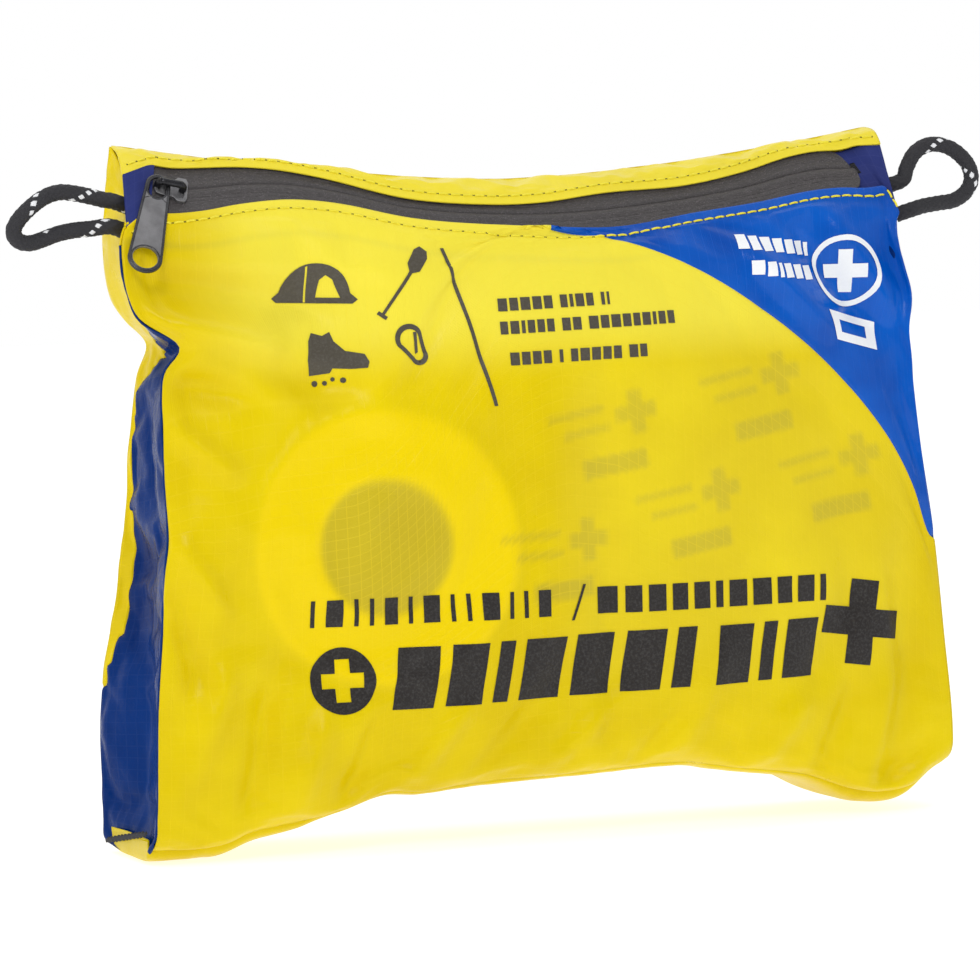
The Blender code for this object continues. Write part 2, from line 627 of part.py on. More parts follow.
def make_packs():
    block("info_card", (0.150, 0.0004, 0.096), Vector((0, 0.0152, 0.072)), "card", tilt_deg=BACK_TILT)
    block("moleskin_sheet", (0.076, 0.0012, 0.090), Vector((0.052, 0.0139, 0.070)), "tan_plaster", tilt_deg=BACK_TILT)
    block("glove_pack", (0.072, 0.0070, 0.062), Vector((-0.046, 0.0072, 0.076)), "blue_glove", corner=0.006)
    block("adhesive_strips_large", (0.076, 0.0050, 0.026), Vector((0.055, -0.0010, 0.034)), "tan_plaster")
    block("adhesive_strips_small", (0.072, 0.0050, 0.019), Vector((0.055, -0.0010, 0.060)), "tan_plaster")
    block("knuckle_plasters", (0.070, 0.0050, 0.036), Vector((0.055, -0.0010, 0.091)), "tan_plaster")
    for index in range(3):
        place = Vector((0.022 + 0.026 * index, 0.0028 + 0.0012 * index, 0.048 + 0.006 * index))
        block("antiseptic_wipe_%d" % (index + 1), (0.046, 0.0009, 0.050), place, "foil", corner=0.001)
    for index, x in enumerate((0.034, 0.078)):
        block("medication_packet_%d" % (index + 1), (0.040, 0.0014, 0.046), Vector((x, 0.0068, 0.096)), "foil",
              corner=0.001)
    for index, z in enumerate((0.036, 0.108)):
        block("ointment_sachet_%d" % (index + 1), (0.022, 0.0024, 0.038), Vector((0.001, -0.010, z + 0.020)), "foil",
              corner=0.001, turn_deg=8 - 16 * index)


def make_tweezers():
    outline = [
        (0.0, -0.0045), (0.0, 0.0045), (TWEEZERS_LENGTH * 0.45, 0.0040),
        (TWEEZERS_LENGTH, 0.0012), (TWEEZERS_LENGTH, -0.0012), (TWEEZERS_LENGTH * 0.45, -0.0040),
    ]
    lower_bottom = -GAP / 2 - TWEEZERS_THICKNESS
    for name, angle, bottom in (("tweezers_arm_lower", 0.0, lower_bottom), ("tweezers_arm_upper", TWEEZERS_SPREAD, GAP)):
        lift = Matrix.Rotation(math.radians(-angle), 4, "Y")
        add_object(name, prism(outline, bottom, bottom + TWEEZERS_THICKNESS), "steel",
                   Matrix.Translation(TWEEZERS_HINGE) @ lift)


def make_pins():
    for index, x in enumerate((-0.048, -0.012)):
        loop = arc(PIN_HALF_LENGTH, 0, PIN_HALF_WIDTH, -90, 90, 7)
        loop += arc(-PIN_HALF_LENGTH, 0, PIN_HALF_WIDTH * 0.8, 90, 270, 7)
        points = [Vector((x + px, -0.0145, 0.0290 + pz)) for px, pz in loop]
        tube("safety_pin_%d" % (index + 1), points, 0.00045, "steel", closed=True)


# --- Build ----------------------------------------------------------------------------------------
for leftover in list(bpy.data.objects):
    bpy.data.objects.remove(leftover)
MATERIALS = {name: make_material(name) for name in COLOURS}
make_front()
make_back()
make_bottom()
make_facing()
for suffix, direction in (("left", -1), ("right", 1)):
    make_gusset("side_gusset_" + suffix, direction)
    make_end_tab("end_tab_" + suffix, direction)
    make_binding("seam_binding_" + suffix, direction)
make_zipper()
make_slider()
make_pull()
make_loops()
make_rolls()
make_inner_bag()
make_packs()
make_tweezers()
make_pins()
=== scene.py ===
"""Looks of the first aid kit: creased ripstop, stitched zipper, slider, braided loops and printed marks."""

import json
import math

import bmesh
import bpy
from mathutils import Matrix, Vector, noise
from mathutils.bvhtree import BVHTree


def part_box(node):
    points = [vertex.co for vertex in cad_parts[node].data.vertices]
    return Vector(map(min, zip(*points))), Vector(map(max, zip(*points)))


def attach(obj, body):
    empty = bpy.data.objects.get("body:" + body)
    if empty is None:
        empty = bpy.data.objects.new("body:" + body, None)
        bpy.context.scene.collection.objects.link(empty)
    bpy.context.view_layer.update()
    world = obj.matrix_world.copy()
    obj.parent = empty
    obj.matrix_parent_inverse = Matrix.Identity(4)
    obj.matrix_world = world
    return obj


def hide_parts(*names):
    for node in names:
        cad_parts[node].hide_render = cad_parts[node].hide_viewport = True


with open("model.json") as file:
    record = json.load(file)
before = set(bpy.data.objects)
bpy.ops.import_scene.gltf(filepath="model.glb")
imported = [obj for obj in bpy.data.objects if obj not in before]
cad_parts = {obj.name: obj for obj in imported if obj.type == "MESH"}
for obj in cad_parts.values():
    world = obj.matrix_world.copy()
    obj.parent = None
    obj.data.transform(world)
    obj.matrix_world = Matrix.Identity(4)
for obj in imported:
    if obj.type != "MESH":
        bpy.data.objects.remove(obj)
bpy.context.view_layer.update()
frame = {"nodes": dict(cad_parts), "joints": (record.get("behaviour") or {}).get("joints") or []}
MM = 0.001

# --- Camera, light and floor ----------------------------------------------------------------------
CAMERA_AZIMUTH = math.radians(-21.0)
CAMERA_HEIGHT = math.radians(4.0)
CAMERA_DISTANCE = 1.40
CAMERA_TARGET = Vector((-0.009, 0, 0.0885))
CAMERA_ROLL = math.radians(-1.3)
# Of the room on the camera's side, at its foot and overhead; behind the pouch it is 1
ROOM_LIGHT = (0.20, 0.60)


def make_camera():
    data = bpy.data.cameras.new("camera")
    data.lens = 200.6
    data.sensor_width = 36
    camera = bpy.data.objects.new("camera", data)
    bpy.context.scene.collection.objects.link(camera)
    flat = math.cos(CAMERA_HEIGHT)
    back = Vector((math.sin(CAMERA_AZIMUTH) * flat, -math.cos(CAMERA_AZIMUTH) * flat,
                   math.sin(CAMERA_HEIGHT)))
    camera.location = CAMERA_TARGET + back * CAMERA_DISTANCE
    aim = back.to_track_quat("Z", "Y").to_matrix() @ Matrix.Rotation(CAMERA_ROLL, 3, "Z")
    camera.rotation_euler = aim.to_euler()
    bpy.context.scene.camera = camera


def area_light(name, place, aim, size, power):
    data = bpy.data.lights.new(name, "AREA")
    data.shape = "RECTANGLE"
    data.size, data.size_y = size
    data.energy = power
    light = bpy.data.objects.new(name, data)
    bpy.context.scene.collection.objects.link(light)
    light.location = place
    light.rotation_euler = (Vector(place) - Vector(aim)).to_track_quat("Z", "Y").to_euler()


def make_world():
    """A white sweep behind the pouch, and a dimmer room on the camera's side that shades the folds."""
    world = bpy.data.worlds.new("studio")
    world.use_nodes = True
    tree = world.node_tree
    direction = tree.nodes.new("ShaderNodeTexCoord")
    split = tree.nodes.new("ShaderNodeSeparateXYZ")
    tree.links.new(direction.outputs["Generated"], split.inputs[0])

    def fade(socket, values):
        node = tree.nodes.new("ShaderNodeMapRange")
        tree.links.new(socket, node.inputs[0])
        for index, value in enumerate(values, 1):
            if isinstance(value, float):
                node.inputs[index].default_value = value
            else:
                tree.links.new(value, node.inputs[index])
        return node.outputs[0]

    room = fade(split.outputs["Z"], (-0.1, 0.9, *ROOM_LIGHT))
    strength = fade(split.outputs["Y"], (-0.5, 0.25, room, 1.0))
    background = tree.nodes["Background"]
    background.inputs["Color"].default_value = (1, 1, 1, 1)
    tree.links.new(strength, background.inputs["Strength"])
    bpy.context.scene.world = world


def make_stage():
    bpy.context.scene.view_settings.view_transform = "Standard"
    make_world()
    middle = (0, 0, 0.09)
    area_light("key", (-0.45, -0.80, 0.80), middle, (0.35, 0.35), 4.0)
    area_light("fill", (0.9, -0.8, 0.35), middle, (0.6, 0.8), 0.9)
    area_light("side", (-1.0, -0.05, 0.30), middle, (0.15, 0.7), 0.6)
    area_light("top", (0.1, 0.1, 1.0), middle, (0.7, 0.5), 0.9)
    bm = bmesh.new()
    bmesh.ops.create_grid(bm, x_segments=1, y_segments=1, size=3)
    mesh = bpy.data.meshes.new("floor")
    bm.to_mesh(mesh)
    bm.free()
    floor = bpy.data.objects.new("floor", mesh)
    bpy.context.scene.collection.objects.link(floor)
    floor.location.z = -0.0002
    n = Nodes("lit_sweep")
    grain = n.noise(n.add("TexCoord").outputs["Object"], 40)
    white = n.mix(grain, (0.50, 0.50, 0.50, 1), (0.54, 0.54, 0.54, 1))
    mesh.materials.append(n.finish(Base_Color=white, Roughness=0.95, Emission_Color=(1, 1, 1, 1),
                                   Emission_Strength=0.72,
                                   Specular_IOR_Level=0.0))


# --- Facts read from the frame --------------------------------------------------------------------
def joint(name):
    return next(j for j in frame["joints"] if j["name"] == name)


ACROSS = Vector((1, 0, 0))
TRACK_CENTRE = Vector(joint("slider_travel")["pos_m"])
OUTWARD = Vector(joint("slider_travel")["axis"]).normalized()
UPHILL = OUTWARD.cross(ACROSS)
ROD = Vector(joint("pull_swing")["pos_m"])
ROD_HEIGHT = (ROD - TRACK_CENTRE).dot(OUTWARD)
ROD_ON_PLANE = ROD - TRACK_CENTRE - OUTWARD * ROD_HEIGHT
TRACK_RADIUS = ROD_ON_PLANE.length
SLIDER_REST = math.atan2(ROD_ON_PLANE.dot(ACROSS), -ROD_ON_PLANE.dot(UPHILL))
FRONT_HIGH = Vector(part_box("front_panel")[1])
BACK_HIGH = Vector(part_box("back_panel")[1])
ROLL_LOW, ROLL_HIGH = (Vector(p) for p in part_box("tape_roll"))
CORE_LOW, CORE_HIGH = (Vector(p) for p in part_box("tape_core"))
BAG_LOW, BAG_HIGH = (Vector(p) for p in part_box("inner_bag_front"))

HALF_BOTTOM = FRONT_HIGH.x
HALF_TOP = HALF_BOTTOM - 4.5 * MM
TOP_CORNERS = BACK_HIGH.z
TOP_MIDDLE = TOP_CORNERS - 11 * MM
HALF_DEPTH = 22.5 * MM
ARCH = 8 * MM
ARCH_HALF_SPAN = 88 * MM
BULGE = 4 * MM
TAPE_HALF = 7.5 * MM
TAPE_THICKNESS = 0.8 * MM
CLOTH_LEVEL = 1.3 * MM
TAPE_COVER = 8.2 * MM
TAB_SHARE = 0.925
TAB_DEG = 16.75
BEND_SHARE = 0.95

# Along the zipper, in degrees of its track: how far (mm) the stretched tapes wave uphill, and half
# their visible width
ZIPPER_WAVE = [(-17.0, -1.8), (-15.9, -1.4), (-14.5, 1.0), (-12.8, 4.4), (-10.8, 6.5), (-8.6, 6.0),
               (-5.6, 2.5), (-3.0, 1.2), (1.0, 0.5), (6.0, 1.1), (10.5, 1.7), (13.0, 2.5), (14.6, 1.7),
               (15.9, -0.4), (17.0, -0.8)]
VISIBLE_HALF = [(-17.0, 7.5), (-14.5, 6.9), (-12.8, 5.8), (-10.1, 4.0), (-7.0, 3.0), (-1.7, 3.0),
                (0.5, 3.6), (3.8, 5.3), (7.5, 4.2), (10.7, 4.8), (14.0, 5.9), (17.0, 6.8)]
# The cloth's corners beside the zipper's ends: across and uphill in mm, on the tapes' plane
LIP_CORNERS = {-1: (-107.6, 0.2), 1: (102.4, -1.6)}
LIP_EXTRA = 0.8 * MM                 # the lip leaves a little more of the tape showing than the facing
FACING_CORNERS = {-1: (-105.4, 15.9), 1: (103.6, 19.4)}
FACING_CORNER_HEIGHT = 1.2


# --- Small helpers --------------------------------------------------------------------------------
def lerp(a, b, t):
    return a + (b - a) * t


def spread(start, end, count):
    return [lerp(start, end, i / (count - 1)) for i in range(count)]


def smooth(low, high, value):
    t = min(max((value - low) / (high - low), 0.0), 1.0)
    return t * t * (3 - 2 * t)


def through(points, at):
    """Smooth curve through listed (place, value) points."""
    for k in range(len(points) - 1):
        if at <= points[k + 1][0] or k == len(points) - 2:
            break
    before, here = points[max(k - 1, 0)], points[k]
    there, after = points[k + 1], points[min(k + 2, len(points) - 1)]
    width = there[0] - here[0]
    t = min(max((at - here[0]) / width, 0.0), 1.0)
    leave = (there[1] - before[1]) / (there[0] - before[0]) * width
    arrive = (after[1] - here[1]) / (after[0] - here[0]) * width
    return ((2 * t ** 3 - 3 * t ** 2 + 1) * here[1] + (t ** 3 - 2 * t ** 2 + t) * leave
            + (3 * t ** 2 - 2 * t ** 3) * there[1] + (t ** 3 - t ** 2) * arrive)


def bezier(a, b, c, d, t):
    s = 1 - t
    return a * s ** 3 + b * 3 * s * s * t + c * 3 * s * t * t + d * t ** 3


def add_piece(name, mesh, material, body="pouch", replaces=()):
    """Link a mesh as a piece that rides on a body, and hide the CAD nodes it stands for."""
    obj = bpy.data.objects.new(name, mesh)
    bpy.context.scene.collection.objects.link(obj)
    mesh.materials.append(material)
    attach(obj, body)
    if replaces:
        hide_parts(*replaces)
    return obj


def mesh_from(bm, name, sharp_deg=None):
    bmesh.ops.recalc_face_normals(bm, faces=bm.faces)
    mesh = bpy.data.meshes.new(name)
    bm.to_mesh(mesh)
    bm.free()
    mesh.shade_smooth()
    if sharp_deg:
        mesh.set_sharp_from_angle(angle=math.radians(sharp_deg))
    return mesh


def add_modifier(obj, kind, **settings):
    modifier = obj.modifiers.new(kind.lower(), kind)
    for key, value in settings.items():
        setattr(modifier, key, value)
    return modifier


def bake_modifiers(obj):
    """Replace the object's mesh by the evaluated one."""
    graph = bpy.context.evaluated_depsgraph_get()
    mesh = bpy.data.meshes.new_from_object(obj.evaluated_get(graph))
    obj.modifiers.clear()
    obj.data = mesh
    return obj


# --- Materials ------------------------------------------------------------------------------------
class Nodes:
    """Builds a node material: add() makes a node, and link() joins a socket to an input."""

    def __init__(self, name):
        self.material = bpy.data.materials.new(name)
        self.material.use_nodes = True
        self.tree = self.material.node_tree
        self.shader = self.tree.nodes["Principled BSDF"]

    def add(self, kind, inputs=(), **settings):
        node = self.tree.nodes.new("ShaderNode" + kind)
        for key, value in settings.items():
            setattr(node, key, value)
        for key, value in dict(inputs).items():
            self.put(node.inputs[key], value)
        return node

    def put(self, socket, value):
        if isinstance(value, bpy.types.NodeSocket):
            self.tree.links.new(value, socket)
        else:
            socket.default_value = value

    def math(self, operation, a, b=0.0, c=0.0):
        node = self.add("Math", operation=operation)
        for socket, value in zip(node.inputs, (a, b, c)):
            self.put(socket, value)
        return node.outputs[0]

    def mix(self, factor, a, b, blend="MIX"):
        node = self.add("Mix", data_type="RGBA", blend_type=blend)
        for socket, value in zip((node.inputs[0], node.inputs[6], node.inputs[7]), (factor, a, b)):
            self.put(socket, value)
        return node.outputs[2]

    def ramp(self, value, low, high, to_low=0.0, to_high=1.0):
        node = self.add("MapRange", {0: value, 1: low, 2: high, 3: to_low, 4: to_high})
        return node.outputs[0]

    def noise(self, vector, scale, detail=2.0, roughness=0.5):
        node = self.add("TexNoise", {"Vector": vector, "Scale": scale, "Detail": detail,
                                     "Roughness": roughness})
        return node.outputs["Fac"]

    def bump(self, height, strength, distance, normal=None):
        node = self.add("Bump", {"Height": height, "Strength": strength, "Distance": distance})
        if normal:
            self.put(node.inputs["Normal"], normal)
        return node.outputs[0]

    def finish(self, **inputs):
        for key, value in inputs.items():
            self.put(self.shader.inputs[key.replace("_", " ")], value)
        return self.material


def plain_material(name, colour, roughness, metallic=0.0, grain=0.03, scale=900):
    """A surface with fine mottling of its colour and a fine grain."""
    n = Nodes(name)
    place = n.add("TexCoord").outputs["Object"]
    mottle = n.noise(place, scale, 3.0)
    dark = tuple(c * (1 - grain * 3) for c in colour) + (1,)
    light = tuple(min(1, c * (1 + grain)) for c in colour) + (1,)
    return n.finish(Base_Color=n.mix(mottle, dark, light), Roughness=roughness, Metallic=metallic,
                    Normal=n.bump(mottle, 0.15, 0.0001))


def cloth_material(name, colour, deep, roughness, coat, shine, show_through_and_light=False, crinkle=0.35):
    """Coated ripstop nylon: a grid of thicker threads, a fine weave and soft crinkles."""
    n = Nodes(name)
    uv = n.add("UVMap", uv_map="cloth").outputs[0]
    parts = n.add("SeparateXYZ", {0: uv})
    seen_and_lit = n.add("SeparateColor", {0: n.add("Attribute", attribute_name="seen_and_lit").outputs["Color"]}).outputs
    lines = None
    for axis in (0, 1):
        wave = n.math("PINGPONG", parts.outputs[axis], 1.5)
        line = n.ramp(wave, 0.0, 0.20, 1.0, 0.0)
        lines = line if lines is None else n.math("MAXIMUM", lines, line)
    weave = n.add("TexWave", {"Vector": uv, "Scale": 1.1, "Distortion": 0.4},
                  bands_direction="DIAGONAL").outputs["Fac"]
    place = n.add("TexCoord").outputs["Object"]
    broad = n.noise(place, 28, 3.0, 0.55)
    small = n.noise(place, 140, 4.0, 0.6)
    base = n.mix(n.ramp(broad, 0.35, 0.70), deep, colour)
    # For the front cloth, the colour layer paints light and shade into the yellow: warmer and brighter over
    # the roll's ring, dark olive over the roll's hole, the tape's shadow line and the bag's print, paler over
    # the film and the lit upper front.
    if show_through_and_light:
        base = n.mix(n.math("MULTIPLY", seen_and_lit[0], 0.70), base, (0.90, 0.67, 0.0, 1))
        base = n.mix(n.math("MULTIPLY", seen_and_lit[1], 0.60), base, (0.40, 0.32, 0.035, 1))
        base = n.mix(n.math("MULTIPLY", seen_and_lit[2], 0.60), base, (0.95, 0.86, 0.09, 1))
    bright = tuple(min(1.0, c * 1.12 + 0.03) for c in colour[:3]) + (1,)
    # The ripstop grid shows more over the darker marks and painted shade.
    strength = n.math("MULTIPLY_ADD", seen_and_lit[1], 0.20, 0.13) if show_through_and_light else 0.16
    base = n.mix(n.math("MULTIPLY", lines, strength), base, bright)
    normal = n.bump(small, crinkle, 0.0007)
    normal = n.bump(n.math("ADD", lines, n.math("MULTIPLY", weave, 0.35)), 0.25, 0.00012, normal)
    gloss = n.ramp(small, 0.3, 0.7, roughness * 0.8, min(1.0, roughness * 1.25))
    return n.finish(Base_Color=base, Roughness=gloss, Coat_Weight=coat, Coat_Roughness=0.12, Normal=normal,
                    Specular_IOR_Level=shine)


def zipper_material():
    """Polyurethane-coated tape: charcoal, matt, with a fine pebbled grain."""
    n = Nodes("zipper_coating")
    uv = n.add("UVMap", uv_map="cloth").outputs[0]
    place = n.add("TexCoord").outputs["Object"]
    pebbles = n.noise(place, 2600, 2.0, 0.6)
    streak = n.noise(n.add("Mapping", {"Vector": uv, "Scale": (0.5, 4.0, 1.0)}).outputs[0], 1.2, 2.0)
    colour = n.mix(n.ramp(streak, 0.3, 0.7), (0.030, 0.026, 0.026, 1), (0.060, 0.053, 0.054, 1))
    colour = n.mix(n.ramp(pebbles, 0.55, 0.75), colour, (0.12, 0.105, 0.11, 1))
    return n.finish(Base_Color=colour, Roughness=0.58, Normal=n.bump(pebbles, 0.6, 0.0003))


def metal_material(name, light, dark, roughness, grain):
    n = Nodes(name)
    place = n.add("TexCoord").outputs["Object"]
    speckle = n.noise(place, 3200, 2.0, 0.7)
    patch = n.noise(place, 260, 2.0)
    colour = n.mix(n.ramp(patch, 0.35, 0.65), dark, light)
    return n.finish(Base_Color=colour, Metallic=0.75,
                    Roughness=n.ramp(speckle, 0.3, 0.7, roughness - 0.08, roughness + 0.08),
                    Normal=n.bump(speckle, grain, 0.0002))


def print_material(name, colour, roughness=0.45):
    """Screen-print ink, slightly broken by the weave under it."""
    n = Nodes(name)
    place = n.add("TexCoord").outputs["Object"]
    wear = n.noise(place, 1500, 3.0, 0.7)
    lifted = tuple(min(1, c + 0.035) for c in colour)
    return n.finish(Base_Color=n.mix(n.ramp(wear, 0.45, 0.8), (*colour, 1), (*lifted, 1)),
                    Roughness=roughness,
                    Specular_IOR_Level=0.25, Normal=n.bump(wear, 0.2, 0.0001))


def cord_material():
    """Braided cord: black strands, with reflective flecks given by the mesh's own colour layer."""
    n = Nodes("braided_cord")
    painted = n.add("Attribute", attribute_name="fleck").outputs["Color"]
    fleck = n.add("SeparateColor", {0: painted}).outputs[0]
    place = n.add("TexCoord").outputs["Object"]
    fibre = n.noise(place, 4200, 2.0, 0.7)
    black = n.mix(fibre, (0.006, 0.006, 0.008, 1), (0.035, 0.034, 0.040, 1))
    colour = n.mix(n.ramp(fleck, 0.4, 0.6), black, (0.80, 0.81, 0.83, 1))
    return n.finish(Base_Color=colour, Roughness=n.ramp(fleck, 0.4, 0.6, 0.75, 0.35),
                    Normal=n.bump(fibre, 0.5, 0.0002))


# --- Shape of the pouch ---------------------------------------------------------------------------
# Height in mm of the lower front edge, across the pouch: it sags between the packs and lifts at the
# right corner
FRONT_EDGE = [(-112, 4.0), (-104, 3.6), (-90, 4.2), (-81, 6.8), (-67, 8.8), (-57, 11.0), (-45, 14.6),
              (-35, 14.2), (-26, 15.0), (-9, 15.8), (10, 16.3), (35, 17.0), (51, 14.6), (70, 11.6),
              (82, 7.2), (89, 5.8), (98, 6.6), (105, 11.0), (112, 15.0)]
EDGE_ROUND = 6 * MM                  # radius of the soft lower edge


def edge_height(x):
    return through(FRONT_EDGE, x / MM) * MM


def rounded_in(height):
    """How far the cloth has turned inward at a height above its lower edge."""
    left = max(0.0, 1 - height / EDGE_ROUND)
    return EDGE_ROUND * (1 - math.sqrt(max(0.0, 1 - left * left)))


def arch_height(x):
    if abs(x) >= ARCH_HALF_SPAN:
        return 0.0
    return ARCH * math.cos(math.pi / 2 * x / ARCH_HALF_SPAN) ** 2


def on_track(angle, spacing, height):
    """A point near the slider's track: degrees along it, spacing below its line and height off the tapes."""
    radius = TRACK_RADIUS + spacing
    a = math.radians(angle)
    return TRACK_CENTRE + ACROSS * (radius * math.sin(a)) - UPHILL * (radius * math.cos(a)) + OUTWARD * height


def zipper_point(angle, spacing, height):
    """The same on the visible zipper, which waves a little off the track."""
    return on_track(angle, spacing - through(ZIPPER_WAVE, angle) * MM, height)


def visible_half(angle):
    return through(VISIBLE_HALF, angle) * MM


def zipper_edge(u, side, inset=0.0, level=CLOTH_LEVEL):
    """The cloth's edge along the zipper: side +1 is the front lip and -1 the top facing."""
    share = min(abs(u) / TAB_SHARE, 1.0)
    angle = math.copysign(TAB_DEG * share, u)
    extra = LIP_EXTRA if side > 0 else 0.0
    point = zipper_point(angle, side * (visible_half(angle) + extra - inset), level)
    if abs(u) <= TAB_SHARE:
        return point
    corners = LIP_CORNERS if side > 0 else FACING_CORNERS
    across, uphill = corners[int(math.copysign(1, u))]
    height = level if side > 0 else level + FACING_CORNER_HEIGHT * MM
    corner = on_track(0, 0, height) + ACROSS * (across * MM) + UPHILL * (uphill * MM + side * inset)
    return lerp(point, corner, (abs(u) - TAB_SHARE) / (1 - TAB_SHARE))


def cover(u):
    """How far the cloth goes on over the tapes from its edge."""
    angle = math.copysign(TAB_DEG * min(abs(u) / TAB_SHARE, 1.0), u)
    return max(TAPE_COVER - visible_half(angle), 0.7 * MM)


# How far (mm) the left side's front and back edges are drawn in, by height in mm: the gusset is pinched
# below the zipper
LEFT_FRONT_IN = [(0, 1.6), (27, 2.4), (44, 3.0), (62, 4.6), (73, 5.2), (81, 6.4), (92, 6.0), (114, 6.0),
                 (124, 6.4), (131, 4.5), (137, 0.4), (145, -1.8), (154, -2.0), (164, 0.0)]
LEFT_BACK_IN = [(0, 0.0), (41, 0.2), (64, 3.4), (90, 5.8), (106, 6.4), (121, 8.2), (129, 10.4), (135, 4.5),
                (141, 0.5), (154, -1.6), (168, -1.0), (179, 0.0)]
NOTCH_Z, NOTCH_IN, NOTCH_HALF = 129.0, 6.5, 4.0
RIGHT_OUT = [(0, 3.5), (14, 3.3), (26, 3.0), (46, 1.5), (74, 0.0), (99, -2.0), (126, -2.2), (135, -0.4),
             (142, -1.5), (150, -2.2), (160, -1.2)]


def side_shape(u, z):
    """How far the filled pouch's side edge leaves a straight line, pinched where the gusset folds in."""
    edge = smooth(0.55, 1.0, abs(u))
    if u < 0:
        notch = NOTCH_IN * math.exp(-((z / MM - NOTCH_Z) / NOTCH_HALF) ** 2) * smooth(0.80, 1.0, -u)
        return (edge * through(LEFT_FRONT_IN, z / MM) + notch) * MM
    return edge * through(RIGHT_OUT, z / MM) * MM


def front_surface(u, v):
    lip = zipper_edge(u, 1)
    bend = lip - UPHILL * cover(u)
    if v > BEND_SHARE:
        return lerp(bend, lip, (v - BEND_SHARE) / (1 - BEND_SHARE))
    swell = math.cos(math.pi / 2 * u)
    x = u * HALF_BOTTOM
    bottom = Vector((x, -HALF_DEPTH + 3 * MM * (1 - swell), edge_height(x)))
    low = bottom + Vector((0, -BULGE * (0.6 + swell), 0.050))
    high = bend - UPHILL * 12 * MM - Vector((0, 0, 4 * MM))
    point = bezier(bottom, low, high, bend, v / BEND_SHARE)
    point.x += side_shape(u, point.z) * smooth(0.0, 0.12, 1 - v)
    point.y += rounded_in(point.z - bottom.z)
    return point


def top_edge(u):
    return Vector((u * HALF_TOP, 6.5 * MM + 6.5 * MM * u * u, lerp(TOP_MIDDLE, TOP_CORNERS, abs(u) ** 1.6)))


RIGHT_BACK_IN = 5 * MM


def back_edge_height(x):
    return max(arch_height(x) + 4 * MM, edge_height(x) - 1.5 * MM) + 6 * MM * smooth(0.092, 0.108, x)


def back_surface(u, v):
    swell = math.cos(math.pi / 2 * u)
    x = u * HALF_BOTTOM
    bottom = Vector((x, HALF_DEPTH - 3 * MM * (1 - swell), back_edge_height(x)))
    top = top_edge(u)
    point = bezier(bottom, bottom + Vector((0, 3 * MM, 0.050)), top + Vector((0, 3 * MM, -0.050)), top, v)
    if u < 0:
        point.x += smooth(0.6, 1.0, -u) * through(LEFT_BACK_IN, point.z / MM) * MM
    else:
        point.x += (side_shape(u, point.z) - RIGHT_BACK_IN * smooth(0.6, 1.0, u)) * smooth(0.0, 0.2, 1 - v)
    return point


SEAM_START_X = -1 * MM
SEAM_END_X = 104 * MM
SEAM_LOW_Z = 0.072
SEAM_HIGH_Z = 0.156
SEAM_POWER = 1.57


def corner_seam_z(x):
    share = min(max((x - SEAM_START_X) / (SEAM_END_X - SEAM_START_X), 0.0), 1.0)
    return lerp(SEAM_LOW_Z, SEAM_HIGH_Z, (1 - share ** SEAM_POWER) ** (1 / SEAM_POWER))


def corner_seam_v(u):
    low, high = 0.3, BEND_SHARE + 0.03
    for _ in range(20):
        middle = (low + high) / 2
        point = front_surface(u, middle)
        if point.z < corner_seam_z(point.x):
            low = middle
        else:
            high = middle
    return low


# --- Relief of what is inside, and folds ----------------------------------------------------------
ROLL_X = (ROLL_LOW.x + ROLL_HIGH.x) / 2
ROLL_Z = (ROLL_LOW.z + ROLL_HIGH.z) / 2
ROLL_RADIUS = (ROLL_HIGH.x - ROLL_LOW.x) / 2
HOLE_RADIUS = (CORE_HIGH.x - CORE_LOW.x) / 2 - 1.5 * MM


def roll_ring(x, z, soft=1.4 * MM):
    """1 on the roll's ring and 0 off it."""
    distance = math.hypot(x - ROLL_X, z - ROLL_Z)
    return smooth(HOLE_RADIUS - soft, HOLE_RADIUS + soft, distance) * (
        1 - smooth(ROLL_RADIUS - soft, ROLL_RADIUS + soft, distance))


def ridge(x, z, start, end, width, height):
    """A fold along a line: rounded across, and fading out at both ends."""
    ax, az = start
    bx, bz = end
    length = math.hypot(bx - ax, bz - az)
    along = ((x - ax) * (bx - ax) + (z - az) * (bz - az)) / length
    off = ((x - ax) * (bz - az) - (z - az) * (bx - ax)) / length
    fade = smooth(-0.15, 0.25, along / length) * (1 - smooth(0.75, 1.15, along / length))
    return height * fade * math.exp(-(off / width) ** 2)


FRONT_FOLDS = [
    # start, end (x, z in mm), half width, height
    ((-107, 137), (-70, 128), 3.6, 2.8),
    ((-106, 146), (-58, 136), 5.0, -2.2),
    ((-99, 127), (-64, 114), 3.4, 2.4),
    ((-102, 120), (-52, 117), 4.6, -2.0),
    ((-103, 112), (-84, 96), 3.0, 1.6),
    ((-103, 84), (-88, 62), 3.0, 1.6),
    ((-104, 72), (-92, 40), 3.2, -1.8),
    ((-88, 50), (-100, 16), 4.0, 1.8),
    ((-76, 44), (-84, 10), 3.4, -1.6),
    ((-62, 38), (-72, 12), 3.4, 1.5),
    ((-48, 36), (-58, 14), 2.8, -1.4),
    ((-24, 38), (-44, 15), 3.0, 1.4),
    ((-8, 36), (-24, 17), 2.8, -1.2),
    ((18, 38), (-6, 17), 2.8, 1.3),
    ((-66, 60), (-86, 30), 4.4, -1.0),
    ((4, 52), (-16, 18), 3.8, -1.0),
    ((46, 50), (30, 18), 3.8, 1.0),
    ((84, 64), (66, 30), 4.2, -1.0),
    ((-84, 150), (-40, 146), 3.4, 1.1),
    ((36, 34), (20, 18), 2.6, -1.1),
    ((70, 36), (54, 14), 3.4, 1.6),
    ((82, 34), (72, 10), 2.8, -1.6),
    ((94, 40), (86, 8), 3.4, 1.4),
    ((108, 22), (92, 8), 3.2, -2.2),
    ((94, 68), (100, 34), 3.4, -1.2),
    ((56, 150), (80, 126), 3.6, 1.6),
    ((70, 154), (92, 126), 3.2, -1.6),
    ((84, 156), (100, 128), 3.0, 1.8),
    ((88, 150), (96, 122), 2.6, -1.0),
    ((-92, 158), (-50, 152), 3.4, 1.0),
]


